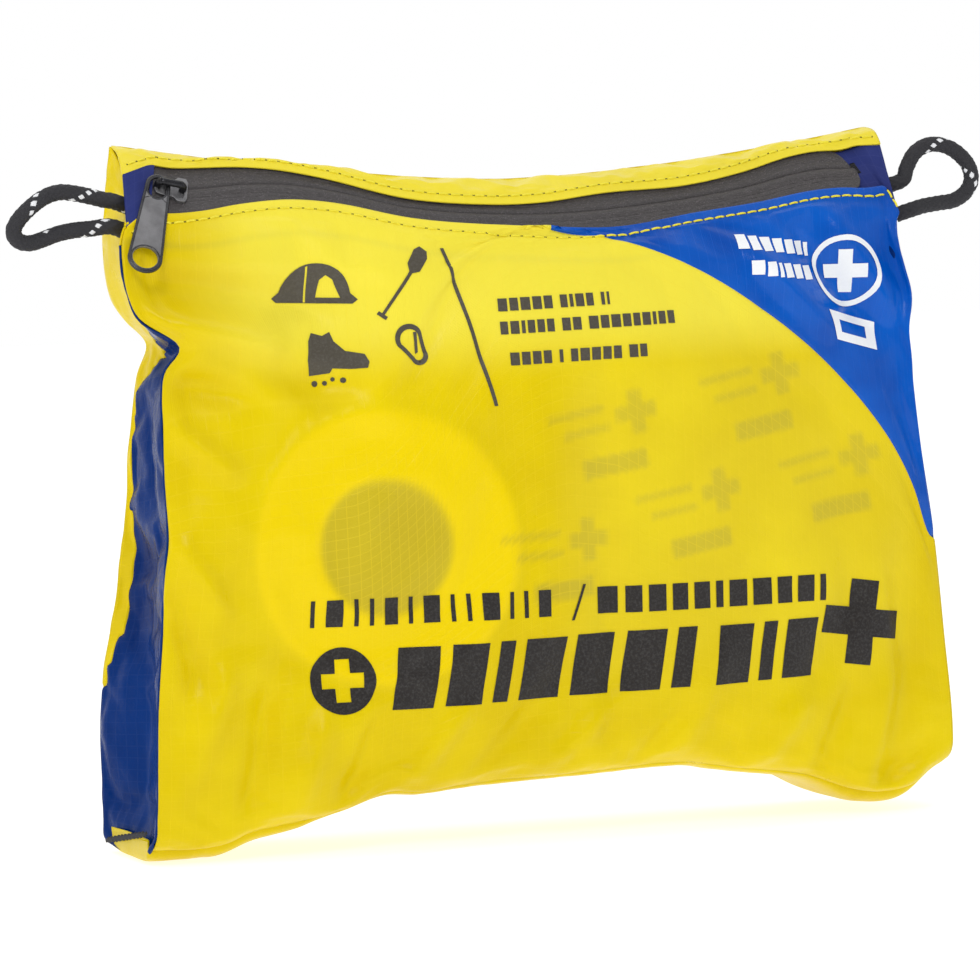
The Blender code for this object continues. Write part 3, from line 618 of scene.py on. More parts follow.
def over_roll(x, z):
    """The y that the cloth lies in front of, to pass over the tape roll: level on it, then sloping away."""
    past = max(0.0, math.hypot(x - ROLL_X, z - ROLL_Z) - ROLL_RADIUS)
    return ROLL_LOW.y - 1.3 * MM + 0.42 * past + 4.0 * past * past


def front_relief(x, z):
    """How far the cloth stands out over the smooth form."""
    height = 0.9 * MM * roll_ring(x, z, 3.0 * MM)
    in_bag = (smooth(BAG_LOW.x - 4 * MM, BAG_LOW.x + 4 * MM, x)
              * (1 - smooth(BAG_HIGH.x - 6 * MM, BAG_HIGH.x + 4 * MM, x)))
    in_bag *= (smooth(BAG_LOW.z - 2 * MM, BAG_LOW.z + 8 * MM, z)
               * (1 - smooth(BAG_HIGH.z - 8 * MM, BAG_HIGH.z + 3 * MM, z)))
    return height + 1.0 * MM * in_bag


def front_folds(x, z):
    return 1.9 * MM * sum(ridge(x / MM, z / MM, *fold) for fold in FRONT_FOLDS)


# Starts of the names of the CAD nodes inside the pouch
CONTENTS = ("tape_core", "tape_roll", "repair_tape", "roller_bandage", "inner_bag", "gauze_pad", "info_card",
            "moleskin_sheet", "glove_pack", "adhesive_strips", "knuckle_plasters", "antiseptic_wipe",
            "medication_packet", "ointment_sachet", "tweezers", "safety_pin")


# --- Cloth ----------------------------------------------------------------------------------------
def cloth_grid(name, surface, columns, rows, outward, relief=None):
    """A grid of cloth with a UV map in millimetres; outward is the side that relief raises it to."""
    points = [[surface(u, v) for u in columns] for v in rows]
    if relief:
        for row, v in zip(points, rows):
            fade = smooth(0.0, 0.06, v) * smooth(0.0, 0.08, 1 - v)
            for point in row:
                point += outward * (relief(point.x, point.z) * fade)
    count = len(columns)
    verts = [point for row in points for point in row]
    faces = []
    for i in range(len(rows) - 1):
        for j in range(count - 1):
            a = i * count + j
            faces.append((a, a + 1, a + 1 + count, a + count))
    mesh = bpy.data.meshes.new(name)
    mesh.from_pydata(verts, [], faces)
    steps_u = [0.0]
    middle = points[len(rows) // 2]
    for a, b in zip(middle, middle[1:]):
        steps_u.append(steps_u[-1] + (b - a).length / MM)
    steps_v = [0.0]
    for low, high in zip(points, points[1:]):
        steps_v.append(steps_v[-1] + (high[count // 2] - low[count // 2]).length / MM)
    layer = mesh.uv_layers.new(name="cloth")
    for loop in mesh.loops:
        i, j = divmod(loop.vertex_index, count)
        layer.data[loop.index].uv = (steps_u[j], steps_v[i])
    return mesh, points


def note_cut(mesh, count, chosen=lambda index: True):
    """Sum a panel's area and the lengths of its rows and columns, and gather the x of its faces, before it
    settles; nothing is kept or returned."""
    rows, columns, across, area = {}, {}, [], 0.0
    for face in mesh.polygons:
        if chosen(face.index):
            i, j = divmod(face.index, count - 1)
            a, b, _, d = (mesh.vertices[k].co for k in face.vertices)
            rows[i] = rows.get(i, 0.0) + (b - a).length
            columns[j] = columns.get(j, 0.0) + (d - a).length
            across += [a.x, b.x]
            area += face.area


def settle(mesh, count, pinned, grow, pressure, frames=16, limit=4 * MM, bending=0.3):
    """Let the cloth find its creases: it is cut a little too big and held where pinned(i, j) is true."""
    obj = bpy.data.objects.new("settling", mesh)
    bpy.context.scene.collection.objects.link(obj)
    start = [v.co.copy() for v in mesh.vertices]
    group = obj.vertex_groups.new(name="held")
    held = [k for k in range(len(start)) if pinned(*divmod(k, count))]
    group.add(held, 1.0, "REPLACE")
    cloth = obj.modifiers.new("cloth", "CLOTH")
    settings = cloth.settings
    settings.quality = 7
    settings.mass = 0.08
    settings.tension_stiffness = 15
    settings.compression_stiffness = 15
    settings.shear_stiffness = 6
    settings.bending_stiffness = bending
    settings.air_damping = 4
    settings.vertex_group_mass = "held"
    settings.shrink_min = -grow
    settings.shrink_max = -grow
    settings.use_pressure = True
    settings.uniform_pressure_force = pressure
    settings.effector_weights.gravity = 0
    cloth.collision_settings.use_collision = False
    cloth.point_cache.frame_start = 1
    cloth.point_cache.frame_end = frames
    for step in range(1, frames + 1):
        bpy.context.scene.frame_set(step)
    graph = bpy.context.evaluated_depsgraph_get()
    moved = [v.co.copy() for v in obj.evaluated_get(graph).data.vertices]
    bpy.data.objects.remove(obj)
    bpy.context.scene.frame_set(1)
    for vertex, before, after in zip(mesh.vertices, start, moved):
        shift = after - before
        if shift.length > limit:
            shift *= limit / shift.length
        vertex.co = before + shift


def contents_tree():
    verts, faces = [], []
    for node, obj in frame["nodes"].items():
        if node.startswith(CONTENTS):
            start = len(verts)
            verts += [obj.matrix_world @ v.co for v in obj.data.vertices]
            faces += [[start + k for k in polygon.vertices] for polygon in obj.data.polygons]
    return BVHTree.FromPolygons(verts, faces)


def clear_contents(mesh, side, gap=1.3 * MM, reach=3 * MM):
    """Lay the cloth over what is inside; side is -1 for the front and 1 for the back."""
    tree = contents_tree()
    for vertex in mesh.vertices:
        for dx, dz in ((0, 0), (-reach, 0), (reach, 0), (0, -reach), (0, reach)):
            start = Vector((vertex.co.x + dx, side * 0.08, vertex.co.z + dz))
            hit = tree.ray_cast(start, Vector((0, -side, 0)))[0]
            if hit is not None:
                vertex.co.y = side * max(side * vertex.co.y,
                                         side * hit.y + gap - (0.4 * MM if dx or dz else 0))


def part_of_mesh(mesh, name, keep):
    """A copy of the mesh with only the faces for which keep(face index) is true."""
    bm = bmesh.new()
    bm.from_mesh(mesh)
    bm.faces.ensure_lookup_table()
    drop = [face for face in bm.faces if not keep(face.index)]
    bmesh.ops.delete(bm, geom=drop, context="FACES")
    part = bpy.data.meshes.new(name)
    bm.to_mesh(part)
    bm.free()
    part.shade_smooth()
    return part


def dress(obj, thickness=0.5 * MM, offset=-1):
    """Refine a settled cloth mesh and give it its thickness."""
    add_modifier(obj, "SUBSURF", levels=1, render_levels=1)
    bake_modifiers(obj)
    add_modifier(obj, "SOLIDIFY", thickness=thickness, offset=offset)
    return obj


def pinned_border(rows, count, band=1):
    last = rows - 1
    return lambda i, j: i < band or i > last - band or j < band or j > count - 1 - band


STAMPS = [
    # centre x, z in mm and turn in degrees of the marks printed on the inner bag
    ((12, 103), 10), ((54, 111), 10), ((35, 82), 10), ((76, 89), 10), ((-2, 72), 4),
]


def soft_box(x, z, half_x, half_z, soft=0.7):
    across = 1 - smooth(half_x - soft, half_x + soft, abs(x))
    return across * (1 - smooth(half_z - soft, half_z + soft, abs(z)))


def stamp_mark(x, z):
    """The inner bag's printed marks, showing through the cloth: a plus, two lines and a bar."""
    mark = 0.0
    for (cx, cz), turn in STAMPS:
        a = math.radians(turn)
        dx, dz = x / MM - cx, z / MM - cz
        if abs(dx) > 24 or abs(dz) > 20:
            continue
        px = dx * math.cos(a) + dz * math.sin(a)
        pz = -dx * math.sin(a) + dz * math.cos(a)
        plus = max(soft_box(px - 10, pz - 4, 5.5, 1.9), soft_box(px - 10, pz - 4, 1.9, 5.5))
        lines = max(soft_box(px + 6, pz - 6.5, 8.0, 0.9), soft_box(px + 4, pz - 1.5, 6.5, 0.9))
        bar = soft_box(px - 2, pz + 8.0, 8.5, 2.4)
        mark = max(mark, 0.85 * plus, 0.7 * lines, bar)
    return mark


def paint_show_through_and_light(mesh):
    """Colour layer painted into the front cloth: red brighter over the roll's ring, painted light that the
    white tape throws back through the cloth; green darker, the inner bag's print showing through, painted
    shade in the roll's hole and a painted shadow line under the zipper tape's edge; blue paler, over the
    inner bag's film and as painted light on the upper front.
    """
    layer = mesh.color_attributes.new("seen_and_lit", "FLOAT_COLOR", "POINT")
    for vertex in mesh.vertices:
        x, z = vertex.co.x, vertex.co.z
        # Painted light: brighter over the roll's ring, where the white tape throws light back through the
        # cloth.
        ring = roll_ring(x, z)
        distance = math.hypot(x - ROLL_X, z - ROLL_Z)
        # Painted shade in the roll's hole, where nothing white lies behind the cloth.
        hole = 1 - smooth(HOLE_RADIUS - 1.5 * MM, HOLE_RADIUS + 1.5 * MM, distance)
        bag = (smooth(-0.006, 0.012, x) * (1 - smooth(0.096, 0.104, x)) * smooth(0.03, 0.05, z)
               * (1 - smooth(0.118, 0.126, z)))
        # A painted shadow line under the zipper tape's edge.
        tape_shadow_line = math.exp(-((vertex.co.z - tape_shadow_z(x)) / (0.9 * MM)) ** 2) * 0.5
        dark = max(hole * 0.85, stamp_mark(x, z) * 0.85, tape_shadow_line)
        # Paler over the inner bag's film, and over the upper front as painted light.
        pale = max(bag * 0.2, smooth(0.116, 0.134, z) * smooth(-0.100, -0.070, x))
        layer.data[vertex.index].color = (ring, dark, pale, 1)


def tape_shadow_z(x):
    """Height of the zipper tape's edge below the lip, where a painted shadow line lies on the cloth."""
    angle = math.degrees(math.asin(max(-0.3, min(0.3, x / TRACK_RADIUS))))
    return zipper_point(angle, visible_half(angle) + 6.0 * MM, 0).z - 3.6 * MM


def make_front(yellow, blue):
    columns = spread(-1, 1, 109)
    low_rows, high_rows = 68, 27
    seam_first, seam_on = 0.03, 0.15

    def split(u):
        if u >= seam_on:
            return corner_seam_v(u)
        if u >= seam_first:
            return lerp(0.985, corner_seam_v(seam_on), (u - seam_first) / (seam_on - seam_first))
        return lerp(0.55, 0.985, smooth(-0.5, seam_first, u))

    splits = {u: split(u) for u in columns}
    rows = list(range(low_rows + high_rows))

    def surface(u, row):
        cut = splits[u]
        if row < low_rows:
            return front_surface(u, cut * (row / (low_rows - 1)) ** 1.3)
        share = (row - low_rows + 1) / high_rows
        return front_surface(u, lerp(cut, 1.0, share))

    count = len(columns)
    mesh, _ = cloth_grid("front_cloth", surface, columns, rows, Vector((0, -1, 0)))
    last = len(rows) - 1
    for k, vertex in enumerate(mesh.vertices):
        i, j = divmod(k, count)
        fade = smooth(0, 4, i) * smooth(0, 8, last - i) * smooth(0, 3, min(j, count - 1 - j))
        vertex.co.y -= front_relief(vertex.co.x, vertex.co.z) * fade
        behind = vertex.co.y - over_roll(vertex.co.x, vertex.co.z)
        vertex.co.y -= (behind + math.sqrt(behind * behind + (1.0 * MM) ** 2)) / 2 * smooth(0, 10, last - i)
    seam_column = next(j for j, u in enumerate(columns) if u >= seam_first)

    def is_blue(index):
        i, j = divmod(index, count - 1)
        return i >= low_rows - 1 and j >= seam_column

    note_cut(mesh, count, lambda f: not is_blue(f))
    note_cut(mesh, count, is_blue)
    settle(mesh, count, lambda i, j: i < 1 or i > last - 6 or j < 1 or j > count - 2, 0.012, 0.25)
    for k, vertex in enumerate(mesh.vertices):
        i, j = divmod(k, count)
        fade = smooth(0, 6, i) * smooth(0, 10, last - i) * smooth(0, 3, j) * smooth(0, 10, count - 1 - j)
        vertex.co.y -= front_folds(vertex.co.x, vertex.co.z) * fade
    clear_contents(mesh, -1)
    front = add_piece("front_cloth", part_of_mesh(mesh, "front_cloth", lambda f: not is_blue(f)), yellow,
                      replaces=["front_panel"])
    corner = add_piece("corner_cloth", part_of_mesh(mesh, "corner_cloth", is_blue), blue,
                       replaces=["corner_panel"])
    dress(front)
    dress(corner)
    paint_show_through_and_light(front.data)
    return front, corner


def make_back(yellow):
    columns, rows = spread(-1, 1, 81), spread(0, 1, 61)
    mesh, _ = cloth_grid("back_cloth", back_surface, columns, rows, Vector((0, 1, 0)))
    note_cut(mesh, len(columns))
    settle(mesh, len(columns), pinned_border(len(rows), len(columns)), 0.012, -0.25)
    for k, vertex in enumerate(mesh.vertices):
        i, j = divmod(k, len(columns))
        fade = smooth(0, 8, min(i, len(rows) - 1 - i)) * smooth(0, 6, min(j, len(columns) - 1 - j))
        vertex.co.y += 0.5 * front_folds(-vertex.co.x, vertex.co.z) * fade
    clear_contents(mesh, 1)
    piece = add_piece("back_cloth", mesh, yellow, replaces=["back_panel"])
    mesh.shade_smooth()
    paint_nothing(mesh)
    return dress(piece, offset=1)


def paint_nothing(mesh, pale=0.0):
    mesh.color_attributes.new("seen_and_lit", "FLOAT_COLOR", "POINT")
    for item in mesh.color_attributes["seen_and_lit"].data:
        item.color = (0, 0, pale, 1)


def make_bottom(yellow):
    """The bottom turns up at both long sides to meet the front and the back."""
    def surface(u, v):
        up = max(0.0, abs(u) - 1.0) * HALF_BOTTOM
        u = math.copysign(min(abs(u), 1.0), u)
        x = u * HALF_BOTTOM
        round_in = EDGE_ROUND if v < 0 else 0.0
        edge = HALF_DEPTH - 3 * MM * (1 - math.cos(math.pi / 2 * u)) + 0.2 * MM - round_in
        y = edge * math.sin(math.pi / 2 * v)
        front = edge_height(x)
        under = max(0.0, front - lerp(4.0, 1.6, smooth(5 * MM, 12 * MM, front)) * MM)
        rim = front if v < 0 else max(back_edge_height(x) + 0.3 * MM, under)
        rise = (rim - under + 0.3 * MM) * (1 - math.cos(math.pi / 2 * v)) ** 1.6
        pucker = 0.5 * MM * noise.noise(Vector((x * 160, y * 40, 3.0))) * smooth(0.0, 0.2, 1 - abs(v))
        out = math.copysign(min(up, 0.7 * MM), u)
        x += side_shape(u, 0.0) + out - RIGHT_BACK_IN * smooth(0.6, 1.0, u) * smooth(0.0, 1.0, v)
        return Vector((x, y, under + max(rise, up) + max(0.0, pucker)))

    wrap = 1 + 6.5 * MM / HALF_BOTTOM
    columns, rows = spread(-wrap, wrap, 141), spread(-1, 1, 31)
    mesh, _ = cloth_grid("bottom_cloth", surface, columns, rows, Vector((0, 0, -1)))
    note_cut(mesh, len(columns))
    piece = add_piece("bottom_cloth", mesh, yellow, replaces=["bottom_panel"])
    mesh.shade_smooth()
    paint_nothing(mesh)
    return dress(piece, offset=1)


def make_facing(yellow):
    def surface(u, v):
        edge = zipper_edge(u, -1)
        bend = edge + UPHILL * cover(u) * 0.8
        top = top_edge(u)
        if v < 0.3:
            return lerp(edge, bend, v / 0.3)
        share = (v - 0.3) / 0.7
        wave = 0.5 * MM * noise.noise(Vector((u * 9, v * 1.5, 1.0)))
        return lerp(bend, top, share) + OUTWARD * ((1.6 * MM + wave) * math.sin(math.pi * share))

    columns, rows = spread(-1, 1, 141), spread(0, 1, 21)
    mesh, _ = cloth_grid("facing_cloth", surface, columns, rows, OUTWARD)
    note_cut(mesh, len(columns))
    settle(mesh, len(columns), lambda i, j: i < 7 or i > 19 or j < 1 or j > 139, 0.02, 0.1, frames=12,
           limit=1.5 * MM)
    piece = add_piece("facing_cloth", mesh, yellow, replaces=["top_facing"])
    mesh.shade_smooth()
    # The facing is painted paler all over: painted light on the pouch's top.
    paint_nothing(mesh, pale=0.7)
    return dress(piece)


# Share of the left side's depth that is blue, by share of its height; the back panel's yellow wraps
# round the rest
BLUE_DEPTH = [(0.0, 1.0), (0.18, 1.0), (0.34, 0.87), (0.62, 0.87), (0.71, 0.35), (0.80, 0.22), (0.88, 0.0)]


def side_point(sign, u, v):
    front = front_surface(sign, v)
    back = back_surface(sign, v)
    point = lerp(front, back, u)
    depth = lerp(6.5 * MM, 2.5 * MM, smooth(0.3, 0.8, v)) * smooth(0.0, 0.1, v + 0.03)
    point.x -= sign * depth * math.sin(math.pi * u) ** 0.8
    point.y += (0.5 if sign < 0 else 1.4) * MM * (1 - smooth(0.0, 0.1, u))
    if sign < 0:
        point.z -= (point.z - 0.4 * MM) * math.sin(math.pi * u) ** 0.5 * (1 - smooth(0.0, 0.035, v))
    return point


def make_sides(blue, yellow):
    for sign, word in ((-1, "left"), (1, "right")):
        columns, rows = spread(0.0, 1.0, 31), spread(0.0, 1.0, 101)
        mesh, _ = cloth_grid("side_" + word, lambda u, v, sign=sign: side_point(sign, u, v), columns, rows,
                             Vector((sign, 0, 0)))

        def is_blue(index):
            i, j = divmod(index, len(columns) - 1)
            return sign > 0 or columns[j] < through(BLUE_DEPTH, rows[i])

        note_cut(mesh, len(columns), is_blue)
        if sign < 0:
            note_cut(mesh, len(columns), lambda index: not is_blue(index))
        settle(mesh, len(columns), pinned_border(len(rows), len(columns)), 0.03, 0.15 * sign, frames=14,
               limit=3 * MM,
               bending=0.15)
        gusset = add_piece("gusset_" + word, part_of_mesh(mesh, "gusset_" + word, is_blue), blue,
                           replaces=["side_gusset_" + word])
        dress(gusset, offset=sign)
        if sign < 0:
            wrap = part_of_mesh(mesh, "side_wrap", lambda index: not is_blue(index))
            paint_nothing(wrap)
            dress(add_piece("side_wrap", wrap, yellow), offset=sign)


def make_tabs(navy):
    """The navy patch at each end of the zipper: over the tapes at the left, under their end at the right."""
    for sign, word in ((-1, "left"), (1, "right")):
        first = TAB_SHARE - 0.010 if sign < 0 else 0.84

        def surface(u, v, sign=sign, first=first):
            across = sign * lerp(first, 1.0, u)
            level = CLOTH_LEVEL - 0.55 * MM
            if sign > 0:
                level = lerp(-0.3 * MM, level, smooth(0.45, 0.8, u))
            lower = zipper_edge(across, 1, level=level)
            upper = zipper_edge(across, -1, level=level)
            crease = 0.20 * MM * math.sin(math.pi * v) * noise.noise(Vector((u * 3, v * 4, sign)))
            return lerp(lower, upper, lerp(-0.03, 1.03, v)) + OUTWARD * crease
        mesh, _ = cloth_grid("end_patch_" + word, surface, spread(0, 1, 21), spread(0, 1, 25), OUTWARD)
        piece = add_piece("end_patch_" + word, mesh, navy, replaces=["end_tab_" + word])
        mesh.shade_smooth()
        dress(piece)


def make_bindings(black):
    """The bound seam along the foot of each gusset: a folded tape with a rounded edge."""
    for word in ("left", "right"):
        low, high = (Vector(p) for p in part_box("seam_binding_" + word))
        sign = -1 if word == "left" else 1
        bm = bmesh.new()
        steps = 40
        rings = []
        for k in range(steps + 1):
            y = lerp(low.y + (-1.5 if sign < 0 else 6.0) * MM, high.y, k / steps)
            end = math.sqrt(max(0.05, 1 - abs(k / steps * 2 - 1) ** 8))
            wave = 0.25 * MM * math.sin(k * 1.9)
            front_z, back_z = (8.8 * MM, 3.0 * MM) if sign < 0 else (14.0 * MM, 12.0 * MM)
            x = sign * (HALF_BOTTOM + (0.6 if sign < 0 else -1.0) * MM)
            centre = Vector((x, y, lerp(front_z, back_z, k / steps) + wave))
            rings.append([bm.verts.new(centre + Vector((math.cos(q) * 0.5 * MM, 0,
                                                        math.sin(q) * 0.7 * MM)) * end)
                          for q in (math.pi / 5 * s for s in range(10))])
        close_rings(bm, rings)
        add_piece("bound_seam_" + word, mesh_from(bm, "bound_seam_" + word), black,
                  replaces=["seam_binding_" + word])


# --- Round bars, cords and plates -----------------------------------------------------------------
def close_rings(bm, rings, closed=False):
    count = len(rings[0])
    pairs = list(zip(rings, rings[1:])) + ([(rings[-1], rings[0])] if closed else [])
    for low, high in pairs:
        for s in range(count):
            bm.faces.new((low[s], low[(s + 1) % count], high[(s + 1) % count], high[s]))
    if not closed:
        bm.faces.new(rings[0])
        bm.faces.new(rings[-1])


def smooth_curve(points, per_span):
    """Points of a Catmull-Rom curve through the given ones."""
    result = []
    for i in range(len(points) - 1):
        a, b, c, d = (points[min(max(i + k, 0), len(points) - 1)] for k in (-1, 0, 1, 2))
        for step in range(per_span):
            t = step / per_span
            result.append(0.5 * (2 * b + (c - a) * t + (2 * a - 5 * b + 4 * c - d) * t * t
                                 + (3 * b - a - 3 * c + d) * t ** 3))
    return result + [points[-1]]


def resampled(points, step):
    """The same line with points at even steps."""
    result, travelled, next_at = [points[0]], 0.0, step
    for a, b in zip(points, points[1:]):
        length = (b - a).length
        while next_at < travelled + length:
            result.append(lerp(a, b, (next_at - travelled) / length))
            next_at += step
        travelled += length
    return result


def along_line(points, closed=False):
    """For each point of a line, two directions square to it that turn as little as possible."""
    count = len(points)
    side = None
    frames = []
    for i in range(count):
        before = points[(i - 1) % count] if closed else points[max(i - 1, 0)]
        after = points[(i + 1) % count] if closed else points[min(i + 1, count - 1)]
        tangent = (after - before).normalized()
        if side is None:
            side = tangent.orthogonal().normalized()
        side = (side - tangent * side.dot(tangent)).normalized()
        frames.append((side, tangent.cross(side)))
    return frames


def bar_along(bm, points, radius, sides=10, closed=False):
    rings = []
    for point, (a, b) in zip(points, along_line(points, closed)):
        rings.append([bm.verts.new(point + (a * math.cos(q) + b * math.sin(q)) * radius)
                      for q in (2 * math.pi * s / sides for s in range(sides))])
    close_rings(bm, rings, closed)


def plate_mesh(name, loops, low, high, bevel):
    """A flat plate with holes and rounded edges, from outlines in mm."""
    curve = bpy.data.curves.new(name, "CURVE")
    curve.dimensions = "2D"
    curve.fill_mode = "BOTH"
    curve.extrude = (high - low) / 2 - bevel
    curve.bevel_depth = bevel
    curve.bevel_resolution = 2
    curve.offset = -bevel
    for loop in loops:
        spline = curve.splines.new("POLY")
        spline.points.add(len(loop) - 1)
        spline.use_cyclic_u = True
        for point, (x, y) in zip(spline.points, loop):
            point.co = (x, y, 0, 1)
    obj = bpy.data.objects.new(name, curve)
    bpy.context.scene.collection.objects.link(obj)
    graph = bpy.context.evaluated_depsgraph_get()
    mesh = bpy.data.meshes.new_from_object(obj.evaluated_get(graph))
    bpy.data.objects.remove(obj)
    bpy.data.curves.remove(curve)
    mesh.transform(Matrix.Scale(MM, 4) @ Matrix.Translation((0, 0, (low + high) / 2)))
    mesh.shade_smooth()
    mesh.set_sharp_from_angle(angle=math.radians(40))
    return mesh


def joined(name, meshes, matrix):
    bm = bmesh.new()
    for mesh in meshes:
        bm.from_mesh(mesh)
    bm.transform(matrix)
    return mesh_from(bm, name, sharp_deg=40)


# --- Lash loops -----------------------------------------------------------------------------------
# The same routes as the CAD's loops
LEFT_LOOP = [
    (-0.1088, -0.0030, 0.1652), (-0.1112, -0.0034, 0.1656), (-0.1148, -0.0040, 0.1665),
    (-0.1190, -0.0047, 0.1674), (-0.1231, -0.0052, 0.1678), (-0.1272, -0.0058, 0.1667),
    (-0.1311, -0.0063, 0.1642), (-0.1344, -0.0068, 0.1611), (-0.1357, -0.0070, 0.1583),
    (-0.1343, -0.0068, 0.1561), (-0.1313, -0.0064, 0.1555), (-0.1280, -0.0061, 0.1563),
    (-0.1244, -0.0060, 0.1575), (-0.1200, -0.0059, 0.1583), (-0.1155, -0.0058, 0.1586),
    (-0.1105, -0.0060, 0.1590),
]
RIGHT_LOOP = [
    (0.1080, -0.0022, 0.1648), (0.1094, -0.0022, 0.1680), (0.1117, -0.0023, 0.1718),
    (0.1155, -0.0026, 0.1739), (0.1200, -0.0031, 0.1736), (0.1238, -0.0037, 0.1714),
    (0.1264, -0.0043, 0.1681), (0.1269, -0.0048, 0.1645), (0.1250, -0.0053, 0.1613),
    (0.1213, -0.0056, 0.1592), (0.1168, -0.0058, 0.1586), (0.1124, -0.0060, 0.1580),
    (0.1098, -0.0062, 0.1574),
]
CORD_RADIUS = 2.0 * MM
STRANDS = 8                          # of the braid, each way round
STRAND_PITCH = 1.9 * MM              # between crossings along the cord


def make_loops(material):
    for word, sign, route, fleck in (("left", -1, LEFT_LOOP, 0), ("right", 1, RIGHT_LOOP, 5)):
        line = [Vector(p) for p in route]
        root = Vector((-sign * 5.0, 0, 0)) * MM - OUTWARD * 2.6 * MM
        line = resampled(smooth_curve([line[0] + root] + line + [line[-1] + root], 6), 0.30 * MM)
        bm = bmesh.new()
        layer = bm.verts.layers.float_color.new("fleck")
        sides = 48
        rings = []
        for i, (point, (a, b)) in enumerate(zip(line, along_line(line))):
            ring = []
            for s in range(sides):
                one = STRANDS * s / sides + i * 0.30 * MM / STRAND_PITCH
                other = STRANDS * s / sides - i * 0.30 * MM / STRAND_PITCH
                over = (math.floor(one) + math.floor(other)) % 2 == 0
                across, along = (other % 1, one % 1) if over else (one % 1, other % 1)
                swell = math.sin(math.pi * across) ** 0.6 * (0.55 + 0.45 * math.sin(math.pi * along))
                q = 2 * math.pi * s / sides
                out = a * math.cos(q) + b * math.sin(q)
                vertex = bm.verts.new(point + out * (CORD_RADIUS * (0.90 + 0.13 * swell)))
                strand = math.floor(one) % STRANDS if over else -1
                turn = math.floor(math.floor(one) / STRANDS)
                white = 1.0 if strand == fleck and turn % 3 != 0 else 0.0
                vertex[layer] = (white, white, white, 1)
                ring.append(vertex)
            rings.append(ring)
        close_rings(bm, rings)
        cord = add_piece("lash_loop_" + word, mesh_from(bm, "lash_loop_" + word), material,
                         replaces=["cord_loop_" + word])
        length = sum((q - p).length for p, q in zip(line, line[1:]))
        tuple(line[0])


# --- Zipper ---------------------------------------------------------------------------------------
SEAM_HALF = 0.13 * MM                # half of the dark line where the two tapes meet
TAPE_ENDS = {-1: 17.0, 1: 15.95}


def make_zipper(coating, dark):
    angles = spread(-TAPE_ENDS[-1], TAPE_ENDS[1], 321)

    def half_width(angle):
        end = TAPE_ENDS[1 if angle > 0 else -1]
        past = min(max(0.0, (abs(angle) - (end - 1.1)) / 1.1), 0.9999)
        return (min(TAPE_HALF + 0.6 * MM, visible_half(angle) + LIP_EXTRA + 0.3 * MM)
                * max(0.08, (1 - past ** 3.2) ** (1 / 2.2)))

    def profile(spacing):
        off = abs(spacing) / MM
        rolled = -0.38 * math.exp(-(off / 0.45) ** 2)
        coil = 0.16 * math.exp(-((off - 1.5) / 0.8) ** 2)
        grooves = -0.07 * (math.exp(-((off - 2.9) / 0.18) ** 2) + math.exp(-((off - 4.1) / 0.18) ** 2))
        return (0.4 + rolled + coil + grooves) * MM

    for name, side in (("tape_lower", 1), ("tape_upper", -1)):
        def tape(u, v, side=side):
            spacing = side * lerp(SEAM_HALF, half_width(u), v)
            wave = 0.12 * MM * noise.noise(Vector((u * 1.3, v * 2, side)))
            return zipper_point(u, spacing, profile(spacing) + wave)
        mesh, _ = cloth_grid(name, tape, angles, spread(0, 1, 45), OUTWARD)
        mesh.shade_smooth()
        piece = add_piece(name, mesh, coating,
                          replaces=["zipper_" + name, "zipper_stop_left"] if side < 0 else ["zipper_" + name])
        add_modifier(piece, "SOLIDIFY", thickness=TAPE_THICKNESS * 0.8, offset=-1)

    for name, side in (("coil_lower", 1), ("coil_upper", -1)):
        bm = bmesh.new()
        points = []
        turns, steps = 150, 8
        for k in range(turns * steps + 1):
            angle = lerp(-16.2, 16.0, k / (turns * steps))
            turn = 2 * math.pi * k / steps
            points.append(zipper_point(angle, side * (1.2 + 0.65 * math.cos(turn)) * MM,
                                       (-1.35 + 0.45 * math.sin(turn)) * MM))
        bar_along(bm, points, 0.20 * MM, sides=4)
        add_piece(name, mesh_from(bm, name), dark, replaces=["zipper_" + name])


def make_stops(dark):
    bm = bmesh.new()
    for k in range(5):
        angle = TAPE_ENDS[1] + 0.12 + k * 0.05
        bar_along(bm, [on_track(angle, y * MM, -0.3 * MM) for y in spread(-1.8, 1.8, 6)], 0.18 * MM, sides=6)
    add_piece("end_bartack", mesh_from(bm, "end_bartack"), dark,
              replaces=["zipper_stop_right"])


# --- Slider and pull ------------------------------------------------------------------------------
# Sizes in mm. The bridge sits a little lower than the CAD's, and the slider a little downhill, as on the
# stretched tapes
SLIDER_DOWN = 1.4 * MM
BRIDGE_HEIGHT = ROD_HEIGHT / MM - 1.5
PULL_HANG = math.radians(84.5)
PULL_LEAN = math.radians(-4)
EYE_X, EYE_DROP, EYE_RADIUS = -3.4, 0.8, 3.2
RING_DROP, RING_RADIUS, RING_HOLE = 23.4, 4.4, 3.2


def arc(cx, cy, radius, start, end, steps):
    return [(cx + radius * math.cos(math.radians(lerp(start, end, k / steps))),
             cy + radius * math.sin(math.radians(lerp(start, end, k / steps)))) for k in range(steps + 1)]


def slider_matrix():
    """The slider's axes: X along the track, Y uphill, Z off the tapes, origin on the track's middle line."""
    along = ACROSS * math.cos(SLIDER_REST) + UPHILL * math.sin(SLIDER_REST)
    uphill = UPHILL * math.cos(SLIDER_REST) - ACROSS * math.sin(SLIDER_REST)
    rotation = Matrix((along, uphill, OUTWARD)).transposed().to_4x4()
    return Matrix.Translation(on_track(math.degrees(SLIDER_REST), SLIDER_DOWN, 0)) @ rotation


def slider_outline(length, width):
    half = width / 2
    upper = [(length * 0.50, half * 0.70), (length * 0.43, half), (length * 0.20, half),
             (length * 0.08, half * 0.74),
             (-length * 0.30, half * 0.70), (-length * 0.45, half * 0.58), (-length * 0.50, half * 0.36)]
    return [(x, -y) for x, y in upper][::-1] + upper


